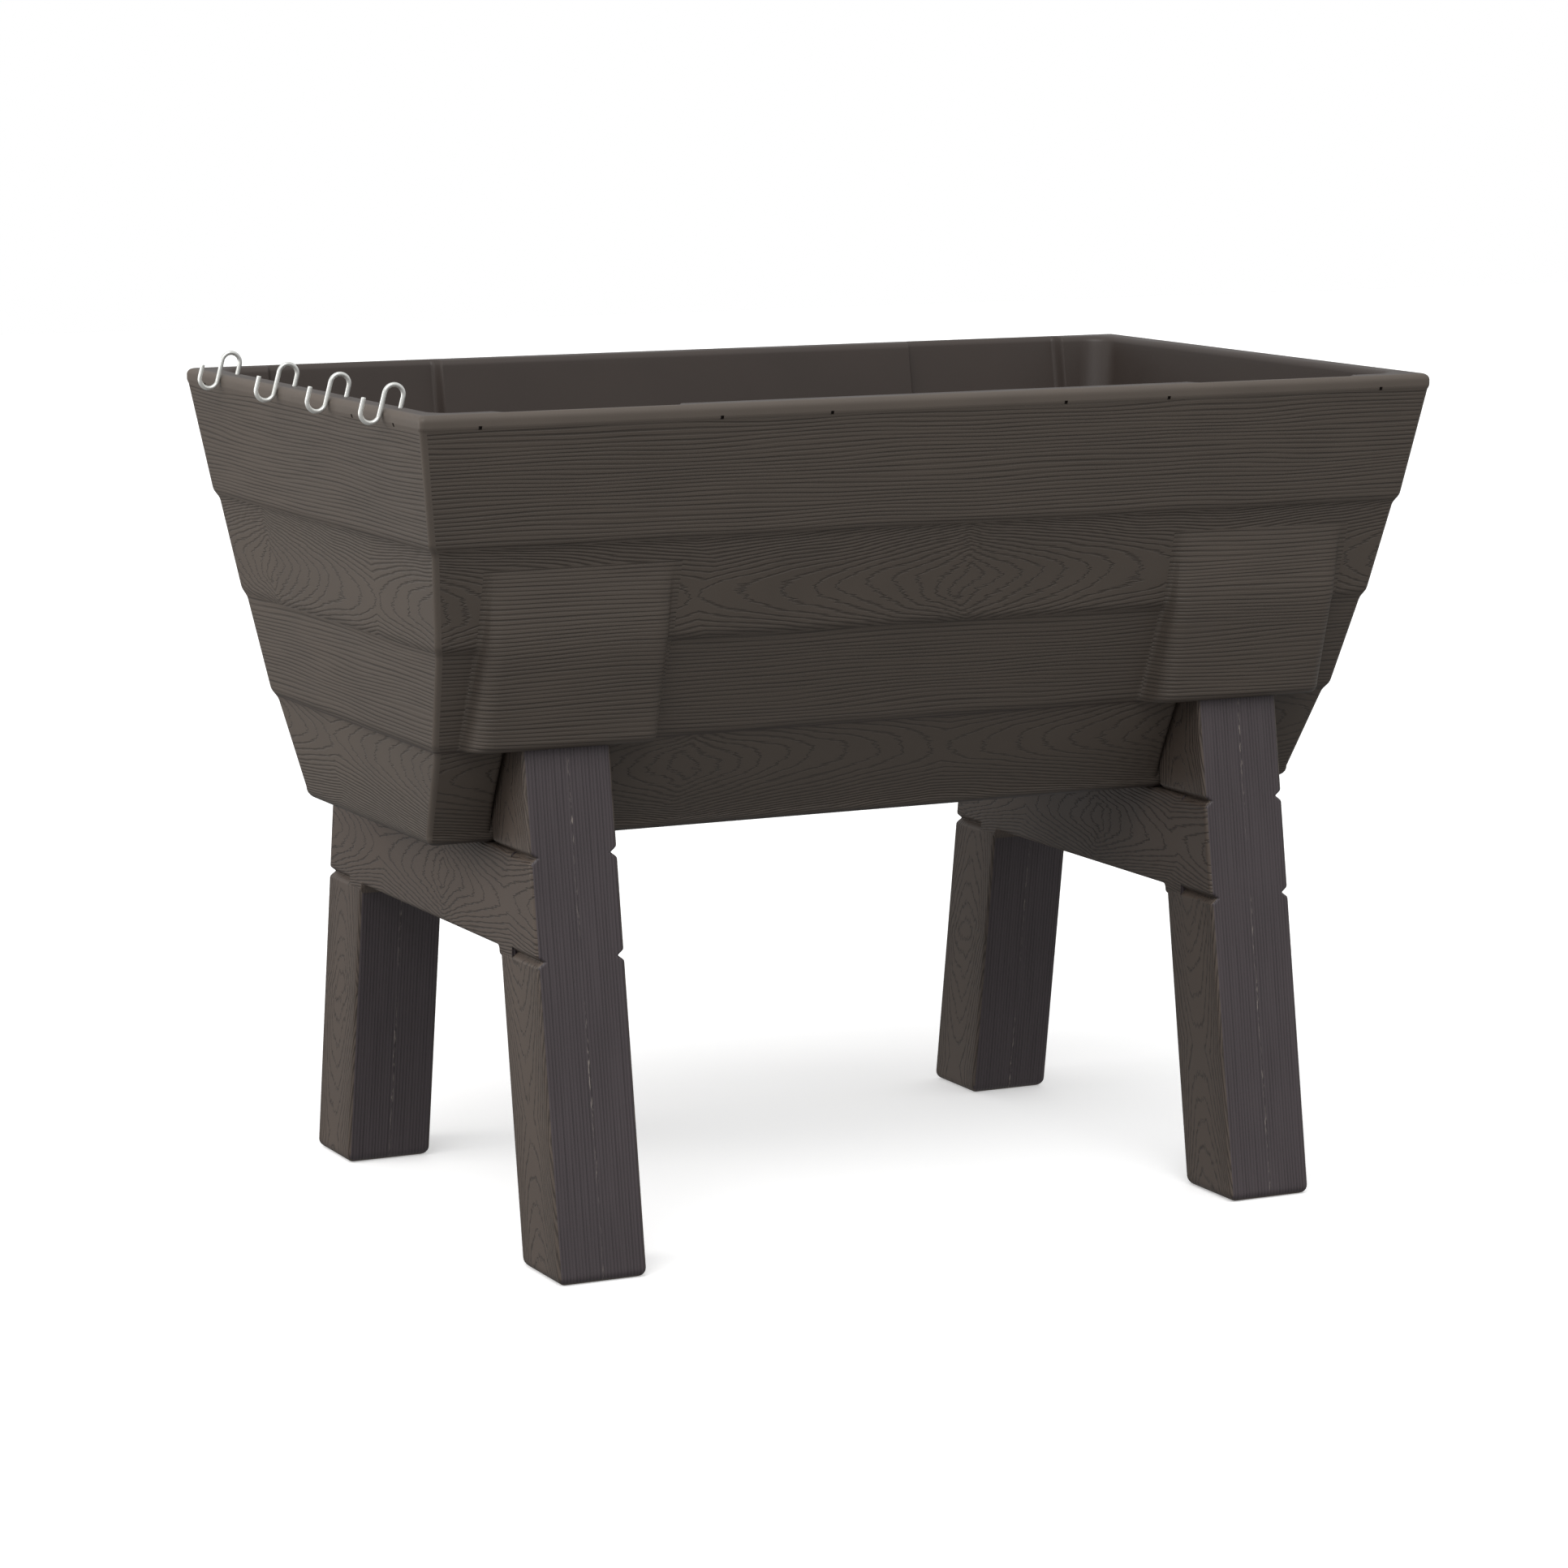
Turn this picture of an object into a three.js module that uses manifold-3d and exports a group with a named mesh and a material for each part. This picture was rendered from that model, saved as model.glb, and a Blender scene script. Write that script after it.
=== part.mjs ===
// Raised garden planter: a double-walled, lap-boarded plastic tub standing on two moulded trestle
// leg frames, with four S-hooks on its left end. X runs along the tub, Y from front to back, Z up.
// The origin is on the floor, under the middle of the whole object, hooks included.
import * as THREE from 'three';
import Module from 'manifold-3d';
import { mergeVertices } from 'three/addons/utils/BufferGeometryUtils.js';

const wasm = await Module();
wasm.setup();

// ---------------------------------------------------------------- driving dimensions, millimetres
const RIM_LENGTH = 1071;
const RIM_WIDTH = 631;
const TUB_DEPTH = 420;
const STAND_HEIGHT = 394.5;
const LEG_WIDTH = 90;
const LEG_DEPTH = 90;
const FOOT_SPREAD = 635;
const HOOK_WIRE = 4.4;

// ---------------------------------------------------------------- sizes that follow, and details
const CLEARANCE = 0.7;
const RIM_HALF_X = RIM_LENGTH / 2;
const RIM_HALF_Y = RIM_WIDTH / 2;
const TUB_BASE = STAND_HEIGHT + CLEARANCE;
const RIM_HEIGHT = TUB_BASE + TUB_DEPTH;
const BOARDS_DRAWN_DEEP = 420;
const BOARD_SCALE = TUB_DEPTH / BOARDS_DRAWN_DEEP;
const SKIN = 3.6;
const WALL = 26.5;
const OUTER_CORNER = 5;
const INNER_CORNER = 26;
const BAND_HEIGHT = 13;
const BAND_STEP = 1;
const LAP_HEIGHT = 8;
const RIM_ROUND = 6;
const BASE_ROUND = 12;
const FLOOR_THICKNESS = 25;
const FLOOR_ROUND = 14;

// Each lap board: distance below the rim of its top and bottom edge, and how far the end wall and
// the side wall have leaned in from the rim there.
const BOARDS = [
  { top: 14, bottom: 122, endTop: 0, endBottom: 16.5, sideTop: 0.5, sideBottom: 22.5 },
  { top: 130, bottom: 219, endTop: 21.5, endBottom: 33.5, sideTop: 27.5, sideBottom: 53.5 },
  { top: 227, bottom: 317, endTop: 37, endBottom: 47, sideTop: 60, sideBottom: 97 },
  { top: 325, bottom: 408, endTop: 52, endBottom: 62, sideTop: 104, sideBottom: 152 },
];

// Leg pockets: bulges on the long walls over the second and third boards.
const LEG_FROM_RIM_END = 172.5;
const LEG_CENTRE_X = RIM_HALF_X - LEG_FROM_RIM_END;
const POCKET_MARGIN = 48.5;
const POCKET_HALF_X = LEG_WIDTH / 2 + POCKET_MARGIN;
const POCKET_ROUND = 10;
const POCKET_TOP_ROUND = 3;
const POCKET_FACE = [
  { depth: 147, inset: 32 },
  { depth: 211, inset: 30 },
  { depth: 226, inset: 37 },
  { depth: 321, inset: 65 },
];
const POCKET_TOP = RIM_HEIGHT - POCKET_FACE[0].depth * BOARD_SCALE;
const POCKET_BOTTOM = RIM_HEIGHT - POCKET_FACE[3].depth * BOARD_SCALE;
const POCKET_WALL = 10.5;

// Inside the tub: a bay at each pocket that leans in to a shelf over the leg's top.
const SHELF_DEPTH = 151;
const SHELF_ROUND = 6;
const SHELF_Z = RIM_HEIGHT - SHELF_DEPTH * BOARD_SCALE;
const BAY_SIDE_STEP = 1;
const BAY_RIM_INSET = 13;
const BAY_LEAN = 0.4;
const WEB = 7;
const LEG_TOP = SHELF_Z - WEB - CLEARANCE;

// The legs lean in so that each one meets the pocket with one wall's thickness to spare.
const LEG_LEAN = (FOOT_SPREAD / 2 - (RIM_HALF_Y - POCKET_FACE[3].inset - POCKET_WALL)) / POCKET_BOTTOM;
const LEG_CORNER = 5;
const FOOT_ROUND = 9;
const CROSSBAR_HEIGHT = 95.5;
const CROSSBAR_FILLET = 9;
const GROOVE_DEPTH = 6;
const GROOVE_HALF_HEIGHT = 5;
const LEG_TOP_SOLID = 44;
const LEG_TOP_ROUND = 3;
const BAR_HOLLOW_ROUND = 3;
const FILLET_SINK = 4;

// Fasteners, drain and hooks.
const SCREW = { radius: 2.75, headRadius: 6, headHeight: 3.6, length: 42, holeRadius: 3.1 };
const SCREW_SLOT = { width: 1.3, depth: 2 };
const WASHER = { innerRadius: 3.1, outerRadius: 8.5, thickness: 1.6 };
const FIT_GAP = 0.3;
const DRAIN = { holeRadius: 13, plugRadius: 12.6, flangeRadius: 21, flangeThickness: 4 };
const PLUG_EDGE = { flange: 1.5, nose: 2, setBack: 1 };
const PLUG_GRIP = { shorter: 12, width: 6, height: 9, sink: 2 };
const SEAL = { innerRadius: 13.6, outerRadius: 19.5, thickness: 2.6 };
const VENT_RADIUS = 4;
const HOOK = { arcRadius: 9.3, stemLength: 21, tipLength: 12.3, lean: 15 * Math.PI / 180 };
const HOOK_PLACES_Y = [212, 51, -87, -224];
const HOOK_HOLE_GAP = 1.05;
const HOOK_HOLE_RADIUS = HOOK_WIRE / 2 + HOOK_HOLE_GAP;
const HOOK_HOLE_DEPTH = 3;
const HOOK_TOP_FROM_RIM_END = 11.6;
const HOOK_TOP_X = -RIM_HALF_X + HOOK_TOP_FROM_RIM_END;
const HOOK_TIP_REACH = HOOK.arcRadius * Math.cos(HOOK.lean) - HOOK.tipLength * Math.sin(HOOK.lean);
const HOOK_TIP_DROP = HOOK.arcRadius * (1 + Math.sin(HOOK.lean)) + HOOK.tipLength * Math.cos(HOOK.lean);
const HOOK_HOLE_X = HOOK_TOP_X + HOOK_TIP_REACH + HOOK_HOLE_DEPTH / 2 * Math.tan(HOOK.lean);

// How far a cutting body runs past the faces it opens, and the least corner radius that is drawn.
const OVERRUN = 5;
const SOCKET_RUN_OUT = 40;
const LEAST_ROUND = 0.6;
const BAND_TOP_GAP = 0.2;
const MOUTH_STEPS = 4;
const ARC_STEPS = 14;

// ---------------------------------------------------------------- solids
function toSolid(geometry) {
  geometry.deleteAttribute('normal');
  geometry.deleteAttribute('uv');
  const merged = mergeVertices(geometry, 1e-4);
  const vertProperties = Float32Array.from(merged.attributes.position.array);
  const triVerts = Uint32Array.from(merged.index.array);
  return new wasm.Manifold(new wasm.Mesh({ numProp: 3, vertProperties, triVerts }));
}

function toGeometry(solid) {
  const mesh = solid.getMesh();
  const geometry = new THREE.BufferGeometry();
  geometry.setAttribute('position', new THREE.BufferAttribute(mesh.vertProperties, 3));
  geometry.setIndex(new THREE.BufferAttribute(mesh.triVerts, 1));
  geometry.computeVertexNormals();
  return geometry;
}

// A closed body through a stack of outlines that all have the same number of points.
function loft(outlines) {
  const count = outlines[0].length;
  const positions = outlines.flat(2);
  const last = outlines.length - 1;
  for (const outline of [outlines[0], outlines[last]]) {
    const middle = [0, 1, 2].map((axis) => outline.reduce((sum, p) => sum + p[axis], 0) / count);
    positions.push(...middle);
  }
  const bottomMiddle = outlines.length * count;
  const triangles = [];
  for (let i = 0; i < count; i++) {
    const next = (i + 1) % count;
    triangles.push(bottomMiddle, next, i);
    triangles.push(bottomMiddle + 1, last * count + i, last * count + next);
    for (let level = 0; level < last; level++) {
      const low = level * count;
      const high = low + count;
      triangles.push(low + i, low + next, high + next, low + i, high + next, high + i);
    }
  }
  const geometry = new THREE.BufferGeometry();
  geometry.setAttribute('position', new THREE.Float32BufferAttribute(positions, 3));
  geometry.setIndex(triangles);
  return geometry;
}

// A level outline with round corners: x and y are its middle, halfX and halfY its half sizes.
function outlineAt({ x, y, halfX, halfY, radius }, z, inset, segments) {
  const points = [];
  const round = Math.max(radius - inset, LEAST_ROUND);
  [[1, 1], [-1, 1], [-1, -1], [1, -1]].forEach(([sideX, sideY], quarter) => {
    for (let i = 0; i <= segments; i++) {
      const angle = (quarter + i / segments) * Math.PI / 2;
      points.push([
        x + sideX * (halfX - inset - round) + round * Math.cos(angle),
        y + sideY * (halfY - inset - round) + round * Math.sin(angle),
        z,
      ]);
    }
  });
  return points;
}

// A tower of outlines over the given heights, with its bottom and top edges rounded. A positive
// offset draws it that much smaller all over, and a negative one larger.
function tower(sectionAt, heights, { offset = 0, bottomRound = 0, topRound = 0, segments = 3 } = {}) {
  const bottom = heights[0] + offset;
  const top = heights[heights.length - 1] - offset;
  const steps = 3;
  const outlines = [];
  const lowRound = Math.max(bottomRound - offset, 0);
  const highRound = Math.max(topRound - offset, 0);
  const lowStart = lowRound > 0 ? 0 : steps;
  for (let i = lowStart; i <= steps; i++) {
    const angle = i / steps * Math.PI / 2;
    const z = bottom + lowRound * (1 - Math.cos(angle));
    outlines.push(outlineAt(sectionAt(z), z, offset + lowRound * (1 - Math.sin(angle)), segments));
  }
  for (const z of heights.slice(1, -1)) {
    if (z > bottom + lowRound + 0.5 && z < top - highRound - 0.5) {
      outlines.push(outlineAt(sectionAt(z), z, offset, segments));
    }
  }
  for (let i = highRound > 0 ? 0 : steps; i <= steps; i++) {
    const angle = i / steps * Math.PI / 2;
    const z = top - highRound * (1 - Math.sin(angle));
    outlines.push(outlineAt(sectionAt(z), z, offset + highRound * (1 - Math.cos(angle)), segments));
  }
  return toSolid(loft(outlines));
}

function between(low, high, share) {
  return low + (high - low) * share;
}

// A value read off a list of points by straight lines between them.
function interpolate(points, key, valueKey, at) {
  for (let i = 1; i < points.length; i++) {
    if (at <= points[i][key] || i === points.length - 1) {
      const share = (at - points[i - 1][key]) / (points[i][key] - points[i - 1][key]);
      return between(points[i - 1][valueKey], points[i][valueKey], share);
    }
  }
  return points[0][valueKey];
}

function rod(radius, bottom, top, x, y, segments = 16) {
  const geometry = new THREE.CylinderGeometry(radius, radius, top - bottom, segments);
  geometry.rotateX(Math.PI / 2);
  geometry.translate(x, y, (top + bottom) / 2);
  return toSolid(geometry);
}

function ringProfile(innerRadius, outerRadius, bottom, top) {
  return [
    new THREE.Vector2(innerRadius, bottom),
    new THREE.Vector2(outerRadius, bottom),
    new THREE.Vector2(outerRadius, top),
    new THREE.Vector2(innerRadius, top),
    new THREE.Vector2(innerRadius, bottom),
  ];
}

function turned(profile, segments = 28) {
  const geometry = new THREE.LatheGeometry(profile, segments);
  geometry.rotateX(Math.PI / 2);
  return toSolid(geometry);
}

// ---------------------------------------------------------------- tub
const boardHeights = BOARDS.flatMap(({ top, bottom }) => [top, bottom])
  .map((depth) => RIM_HEIGHT - depth * BOARD_SCALE)
  .reverse();

function outerInset(z) {
  const depth = (RIM_HEIGHT - z) / BOARD_SCALE;
  if (depth < BAND_HEIGHT) {
    return { end: 0, side: 0 };
  }
  for (let i = 0; i < BOARDS.length; i++) {
    const board = BOARDS[i];
    if (depth <= board.bottom || i === BOARDS.length - 1) {
      const share = Math.max((depth - board.top) / (board.bottom - board.top), 0);
      return {
        end: BAND_STEP + between(board.endTop, board.endBottom, share),
        side: BAND_STEP + between(board.sideTop, board.sideBottom, share),
      };
    }
    const next = BOARDS[i + 1];
    if (depth < next.top) {
      const share = (depth - board.bottom) / (next.top - board.bottom);
      const smooth = share * share * (3 - 2 * share);
      return {
        end: BAND_STEP + between(board.endBottom, next.endTop, smooth),
        side: BAND_STEP + between(board.sideBottom, next.sideTop, smooth),
      };
    }
  }
  return { end: 0, side: 0 };
}

function outerSection(z) {
  const { end, side } = outerInset(z);
  return { x: 0, y: 0, halfX: RIM_HALF_X - end, halfY: RIM_HALF_Y - side, radius: OUTER_CORNER };
}

function outerHeights() {
  const heights = [TUB_BASE];
  boardHeights.forEach((z, i) => {
    heights.push(z);
    const isBoardTop = i % 2 === 1;
    if (isBoardTop && i < boardHeights.length - 1) {
      const lap = LAP_HEIGHT * BOARD_SCALE;
      heights.push(z + lap * 0.25, z + lap * 0.5, z + lap * 0.75);
    }
  });
  heights.push(RIM_HEIGHT - BAND_HEIGHT * BOARD_SCALE + BAND_TOP_GAP, RIM_HEIGHT);
  return heights;
}

const innerLine = [{ depth: 0, end: 0, side: 0 }]
  .concat(BOARDS.map((board) => ({ depth: board.bottom, end: board.endBottom, side: board.sideBottom })));

function innerSection(z) {
  const depth = (RIM_HEIGHT - z) / BOARD_SCALE;
  return {
    x: 0,
    y: 0,
    halfX: RIM_HALF_X - WALL - interpolate(innerLine, 'depth', 'end', depth),
    halfY: RIM_HALF_Y - WALL - interpolate(innerLine, 'depth', 'side', depth),
    radius: INNER_CORNER,
  };
}

function innerHeights() {
  const levels = BOARDS.slice(0, -1).map(({ bottom }) => RIM_HEIGHT - bottom * BOARD_SCALE).reverse();
  return [TUB_BASE + FLOOR_THICKNESS, ...levels, RIM_HEIGHT - RIM_ROUND];
}

// The flared mouth that rounds an opening's edge at the rim, as a short tower that widens upward.
function mouth(sectionAt, offset) {
  const outlines = [];
  for (let i = 0; i <= MOUTH_STEPS; i++) {
    const angle = i / MOUTH_STEPS * Math.PI / 2;
    const z = RIM_HEIGHT - RIM_ROUND * (1 - Math.sin(angle));
    const flare = RIM_ROUND * (1 - Math.cos(angle));
    outlines.push(outlineAt(sectionAt(z), z, offset - flare, 4));
  }
  const top = RIM_HEIGHT + 2 * RIM_ROUND;
  outlines.push(outlineAt(sectionAt(top), top, offset - RIM_ROUND, 4));
  return toSolid(loft(outlines));
}

// A block on one long wall at a pocket, from the depth innerY out to outerY.
function pocketBlock(sideX, sideY, halfX, innerY, outerY, radius) {
  return {
    x: sideX * LEG_CENTRE_X,
    y: sideY * (innerY + outerY) / 2,
    halfX,
    halfY: (outerY - innerY) / 2,
    radius,
  };
}

function forEachPocket(action) {
  for (const sideX of [-1, 1]) {
    for (const sideY of [-1, 1]) {
      action(sideX, sideY);
    }
  }
}

function legFace(z) {
  return FOOT_SPREAD / 2 - LEG_LEAN * z;
}

function legSection(sideX, sideY) {
  return (z) => pocketBlock(sideX, sideY, LEG_WIDTH / 2, legFace(z) - LEG_DEPTH, legFace(z), LEG_CORNER);
}

function pocketSection(sideX, sideY, offset) {
  const deepY = legFace(POCKET_TOP) - LEG_DEPTH;
  return (z) => {
    const inset = interpolate(POCKET_FACE, 'depth', 'inset', (RIM_HEIGHT - z) / BOARD_SCALE);
    return pocketBlock(sideX, sideY, POCKET_HALF_X, deepY - offset, RIM_HALF_Y - inset, POCKET_ROUND);
  };
}

const pocketHeights = POCKET_FACE.map(({ depth }) => RIM_HEIGHT - depth * BOARD_SCALE).reverse();

function baySection(sideX, sideY) {
  return (z) => {
    const faceY = RIM_HALF_Y - BAY_RIM_INSET - BAY_LEAN * (RIM_HEIGHT - z);
    const innerY = legFace(SHELF_Z) - LEG_DEPTH;
    return pocketBlock(sideX, sideY, POCKET_HALF_X - BAY_SIDE_STEP, innerY, faceY, POCKET_ROUND);
  };
}

function bossSection(sideX, sideY) {
  return (z) => {
    const faceY = legFace(z) - LEG_DEPTH - CLEARANCE - WEB;
    return pocketBlock(sideX, sideY, POCKET_HALF_X - BAY_SIDE_STEP, faceY, RIM_HALF_Y, POCKET_ROUND);
  };
}

// Everything inside the walls and above the floor, grown by the offset given.
function innerSpace(offset) {
  let space = tower(innerSection, innerHeights(), { offset: -offset, bottomRound: FLOOR_ROUND, segments: 4 });
  space = space.add(mouth(innerSection, -offset));
  forEachPocket((sideX, sideY) => {
    const bay = baySection(sideX, sideY);
    space = space.add(tower(bay, [SHELF_Z, RIM_HEIGHT - RIM_ROUND], { offset: -offset, segments: 4 }));
    space = space.add(mouth(bay, -offset));
  });
  forEachPocket((sideX, sideY) => {
    const heights = [TUB_BASE, SHELF_Z];
    space = space.subtract(tower(bossSection(sideX, sideY), heights, { offset, topRound: SHELF_ROUND }));
  });
  return space;
}

function outerBody(offset) {
  const edges = { offset, bottomRound: BASE_ROUND, topRound: RIM_ROUND };
  let body = tower(outerSection, outerHeights(), edges);
  forEachPocket((sideX, sideY) => {
    const pocket = pocketSection(sideX, sideY, offset);
    const rounds = { offset, bottomRound: POCKET_ROUND, topRound: POCKET_TOP_ROUND };
    body = body.add(tower(pocket, pocketHeights, rounds));
  });
  return body;
}

function sockets(offset) {
  let all = null;
  forEachPocket((sideX, sideY) => {
    const heights = [TUB_BASE - SOCKET_RUN_OUT, LEG_TOP];
    const socket = tower(legSection(sideX, sideY), heights, { offset: -offset });
    all = all ? all.add(socket) : socket;
  });
  return all;
}

const screwPlaces = [];
forEachPocket((sideX, sideY) => {
  screwPlaces.push([sideX * LEG_CENTRE_X, sideY * (legFace(LEG_TOP) - LEG_DEPTH / 2)]);
});

function tubSolid() {
  const drainTop = TUB_BASE + FLOOR_THICKNESS + OVERRUN;
  let hollow = outerBody(SKIN).subtract(innerSpace(SKIN)).subtract(sockets(CLEARANCE + SKIN));
  hollow = hollow.subtract(rod(DRAIN.holeRadius + SKIN, TUB_BASE - OVERRUN, drainTop, 0, 0));
  const ventX = LEG_CENTRE_X / 2;
  let tub = outerBody(0).subtract(innerSpace(0)).subtract(sockets(CLEARANCE)).subtract(hollow);
  tub = tub.subtract(rod(VENT_RADIUS, TUB_BASE - OVERRUN, TUB_BASE + SKIN + OVERRUN, ventX, 0));
  tub = tub.subtract(rod(DRAIN.holeRadius, TUB_BASE - OVERRUN, drainTop, 0, 0, 32));
  for (const [x, y] of screwPlaces) {
    tub = tub.subtract(rod(SCREW.holeRadius, LEG_TOP - OVERRUN, SHELF_Z + OVERRUN, x, y));
  }
  const holeBottom = RIM_HEIGHT - HOOK_HOLE_DEPTH;
  for (const y of HOOK_PLACES_Y) {
    tub = tub.subtract(rod(HOOK_HOLE_RADIUS, holeBottom, RIM_HEIGHT + OVERRUN, HOOK_HOLE_X, y));
  }
  return tub;
}

// ---------------------------------------------------------------- leg frames
// A bar along Y with rounded long edges, from -halfLength to halfLength.
function bar(centreX, centreZ, halfX, halfZ, halfLength, radius) {
  const section = { x: 0, y: 0, halfX, halfY: halfZ, radius };
  const geometry = loft([-halfLength, halfLength].map((z) => outlineAt(section, z, 0, 4)));
  geometry.rotateX(Math.PI / 2);
  geometry.translate(centreX, 0, centreZ);
  return toSolid(geometry);
}

// A V-shaped ridge along Y that cuts a groove into a leg's face at faceX.
function grooveCutter(faceX, outward, z, sideY, offset) {
  const reach = OVERRUN;
  const depth = GROOVE_DEPTH + offset;
  const slope = GROOVE_HALF_HEIGHT / GROOVE_DEPTH;
  const vee = new THREE.Shape();
  vee.moveTo(-outward * depth, 0);
  vee.lineTo(outward * reach, -outward * (depth + reach) * slope);
  vee.lineTo(outward * reach, outward * (depth + reach) * slope);
  vee.closePath();
  const length = LEG_DEPTH + 2 * reach + 2 * offset;
  const geometry = new THREE.ExtrudeGeometry(vee, { depth: length, bevelEnabled: false });
  geometry.rotateX(Math.PI / 2);
  geometry.translate(faceX, sideY * (legFace(z) - LEG_DEPTH / 2) + length / 2, z);
  return toSolid(geometry);
}

function grooves(sideX, offset) {
  const cutters = [];
  for (const sideY of [-1, 1]) {
    for (const outward of [-1, 1]) {
      for (const z of [STAND_HEIGHT, STAND_HEIGHT - CROSSBAR_HEIGHT]) {
        const faceX = sideX * LEG_CENTRE_X + outward * LEG_WIDTH / 2;
        cutters.push(grooveCutter(faceX, outward, z, sideY, offset));
      }
    }
  }
  return cutters;
}

// The small web that rounds the corner under the crossbar at one leg.
function crossbarFillet(sideX, sideY) {
  const bottom = STAND_HEIGHT - CROSSBAR_HEIGHT;
  const legY = legFace(bottom) - LEG_DEPTH;
  const sink = FILLET_SINK;
  const shape = new THREE.Shape();
  shape.moveTo(-CROSSBAR_FILLET, 0);
  shape.absarc(-CROSSBAR_FILLET, -CROSSBAR_FILLET, CROSSBAR_FILLET, Math.PI / 2, 0, true);
  shape.lineTo(sink, -CROSSBAR_FILLET);
  shape.lineTo(sink, sink);
  shape.lineTo(-CROSSBAR_FILLET, sink);
  shape.closePath();
  const width = LEG_WIDTH - 2 * LEG_CORNER;
  const options = { depth: width, bevelEnabled: false, curveSegments: 5 };
  const geometry = new THREE.ExtrudeGeometry(shape, options);
  geometry.rotateX(Math.PI / 2);
  geometry.rotateZ(Math.PI / 2);
  if (sideY < 0) {
    geometry.rotateZ(Math.PI);
  }
  geometry.translate(sideX * LEG_CENTRE_X - sideY * width / 2, sideY * legY, bottom);
  return toSolid(geometry);
}

function legFrameSolid(sideX) {
  const centreX = sideX * LEG_CENTRE_X;
  const barMiddle = STAND_HEIGHT - CROSSBAR_HEIGHT / 2;
  const halfLength = legFace(STAND_HEIGHT) - LEG_DEPTH / 2;
  const halfWidth = LEG_WIDTH / 2;
  const halfHeight = CROSSBAR_HEIGHT / 2;
  let frame = bar(centreX, barMiddle, halfWidth, halfHeight, halfLength, LEG_CORNER);
  let hollow = bar(
    centreX, barMiddle, halfWidth - SKIN, halfHeight - SKIN, halfLength, BAR_HOLLOW_ROUND,
  );
  for (const sideY of [-1, 1]) {
    const leg = legSection(sideX, sideY);
    frame = frame.add(tower(leg, [0, LEG_TOP], { bottomRound: FOOT_ROUND, topRound: LEG_TOP_ROUND }));
    frame = frame.add(crossbarFillet(sideX, sideY));
    const hollowHeights = [0, LEG_TOP - LEG_TOP_SOLID];
    hollow = hollow.add(tower(leg, hollowHeights, { offset: SKIN, bottomRound: FOOT_ROUND }));
  }
  for (const cutter of grooves(sideX, 0)) {
    frame = frame.subtract(cutter);
  }
  for (const cutter of grooves(sideX, SKIN)) {
    hollow = hollow.subtract(cutter);
  }
  frame = frame.subtract(hollow);
  frame = frame.subtract(rod(VENT_RADIUS, STAND_HEIGHT - SKIN - OVERRUN, STAND_HEIGHT + OVERRUN, centreX, 0));
  for (const [x, y] of screwPlaces.filter(([placeX]) => placeX * sideX > 0)) {
    frame = frame.subtract(rod(SCREW.holeRadius, LEG_TOP - SCREW.length + WEB, LEG_TOP + OVERRUN, x, y));
  }
  return frame;
}

// ---------------------------------------------------------------- screws, washers and drain
// A pan-head screw, its head's underside at z = 0 and a cross cut in its head.
function screwSolid() {
  const { radius, headRadius, headHeight, length } = SCREW;
  const profile = [
    new THREE.Vector2(0, -length),
    new THREE.Vector2(radius, -length + 2 * radius),
    new THREE.Vector2(radius, 0),
    new THREE.Vector2(headRadius, 0),
    new THREE.Vector2(headRadius, headHeight * 0.45),
    new THREE.Vector2(headRadius * 0.8, headHeight * 0.85),
    new THREE.Vector2(headRadius * 0.45, headHeight),
    new THREE.Vector2(0, headHeight),
  ];
  let screw = turned(profile, 16);
  for (const angle of [0, Math.PI / 2]) {
    const slot = new THREE.BoxGeometry(headRadius, SCREW_SLOT.width, 2 * SCREW_SLOT.depth);
    slot.rotateZ(angle);
    slot.translate(0, 0, headHeight);
    screw = screw.subtract(toSolid(slot));
  }
  return screw;
}

function washerSolid() {
  return turned(ringProfile(WASHER.innerRadius, WASHER.outerRadius, 0, WASHER.thickness), 24);
}

function sealSolid() {
  return turned(ringProfile(SEAL.innerRadius, SEAL.outerRadius, 0, SEAL.thickness), 32);
}

// A push-in plug: z = 0 is its flange's upper face, with a finger bar under the flange.
function drainPlugSolid() {
  const { plugRadius, flangeRadius, flangeThickness } = DRAIN;
  const { flange, nose, setBack } = PLUG_EDGE;
  const reach = FLOOR_THICKNESS + SEAL.thickness + 2 * FIT_GAP - setBack;
  const profile = [
    new THREE.Vector2(0, -flangeThickness),
    new THREE.Vector2(flangeRadius - flange, -flangeThickness),
    new THREE.Vector2(flangeRadius, -flangeThickness + flange),
    new THREE.Vector2(flangeRadius, 0),
    new THREE.Vector2(plugRadius, 0),
    new THREE.Vector2(plugRadius, reach - nose),
    new THREE.Vector2(plugRadius - nose, reach),
    new THREE.Vector2(0, reach),
  ];
  const { shorter, width, height, sink } = PLUG_GRIP;
  const grip = new THREE.BoxGeometry(2 * flangeRadius - shorter, width, height + sink);
  grip.translate(0, 0, -flangeThickness - (height - sink) / 2);
  return turned(profile, 32).add(toSolid(grip));
}

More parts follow.
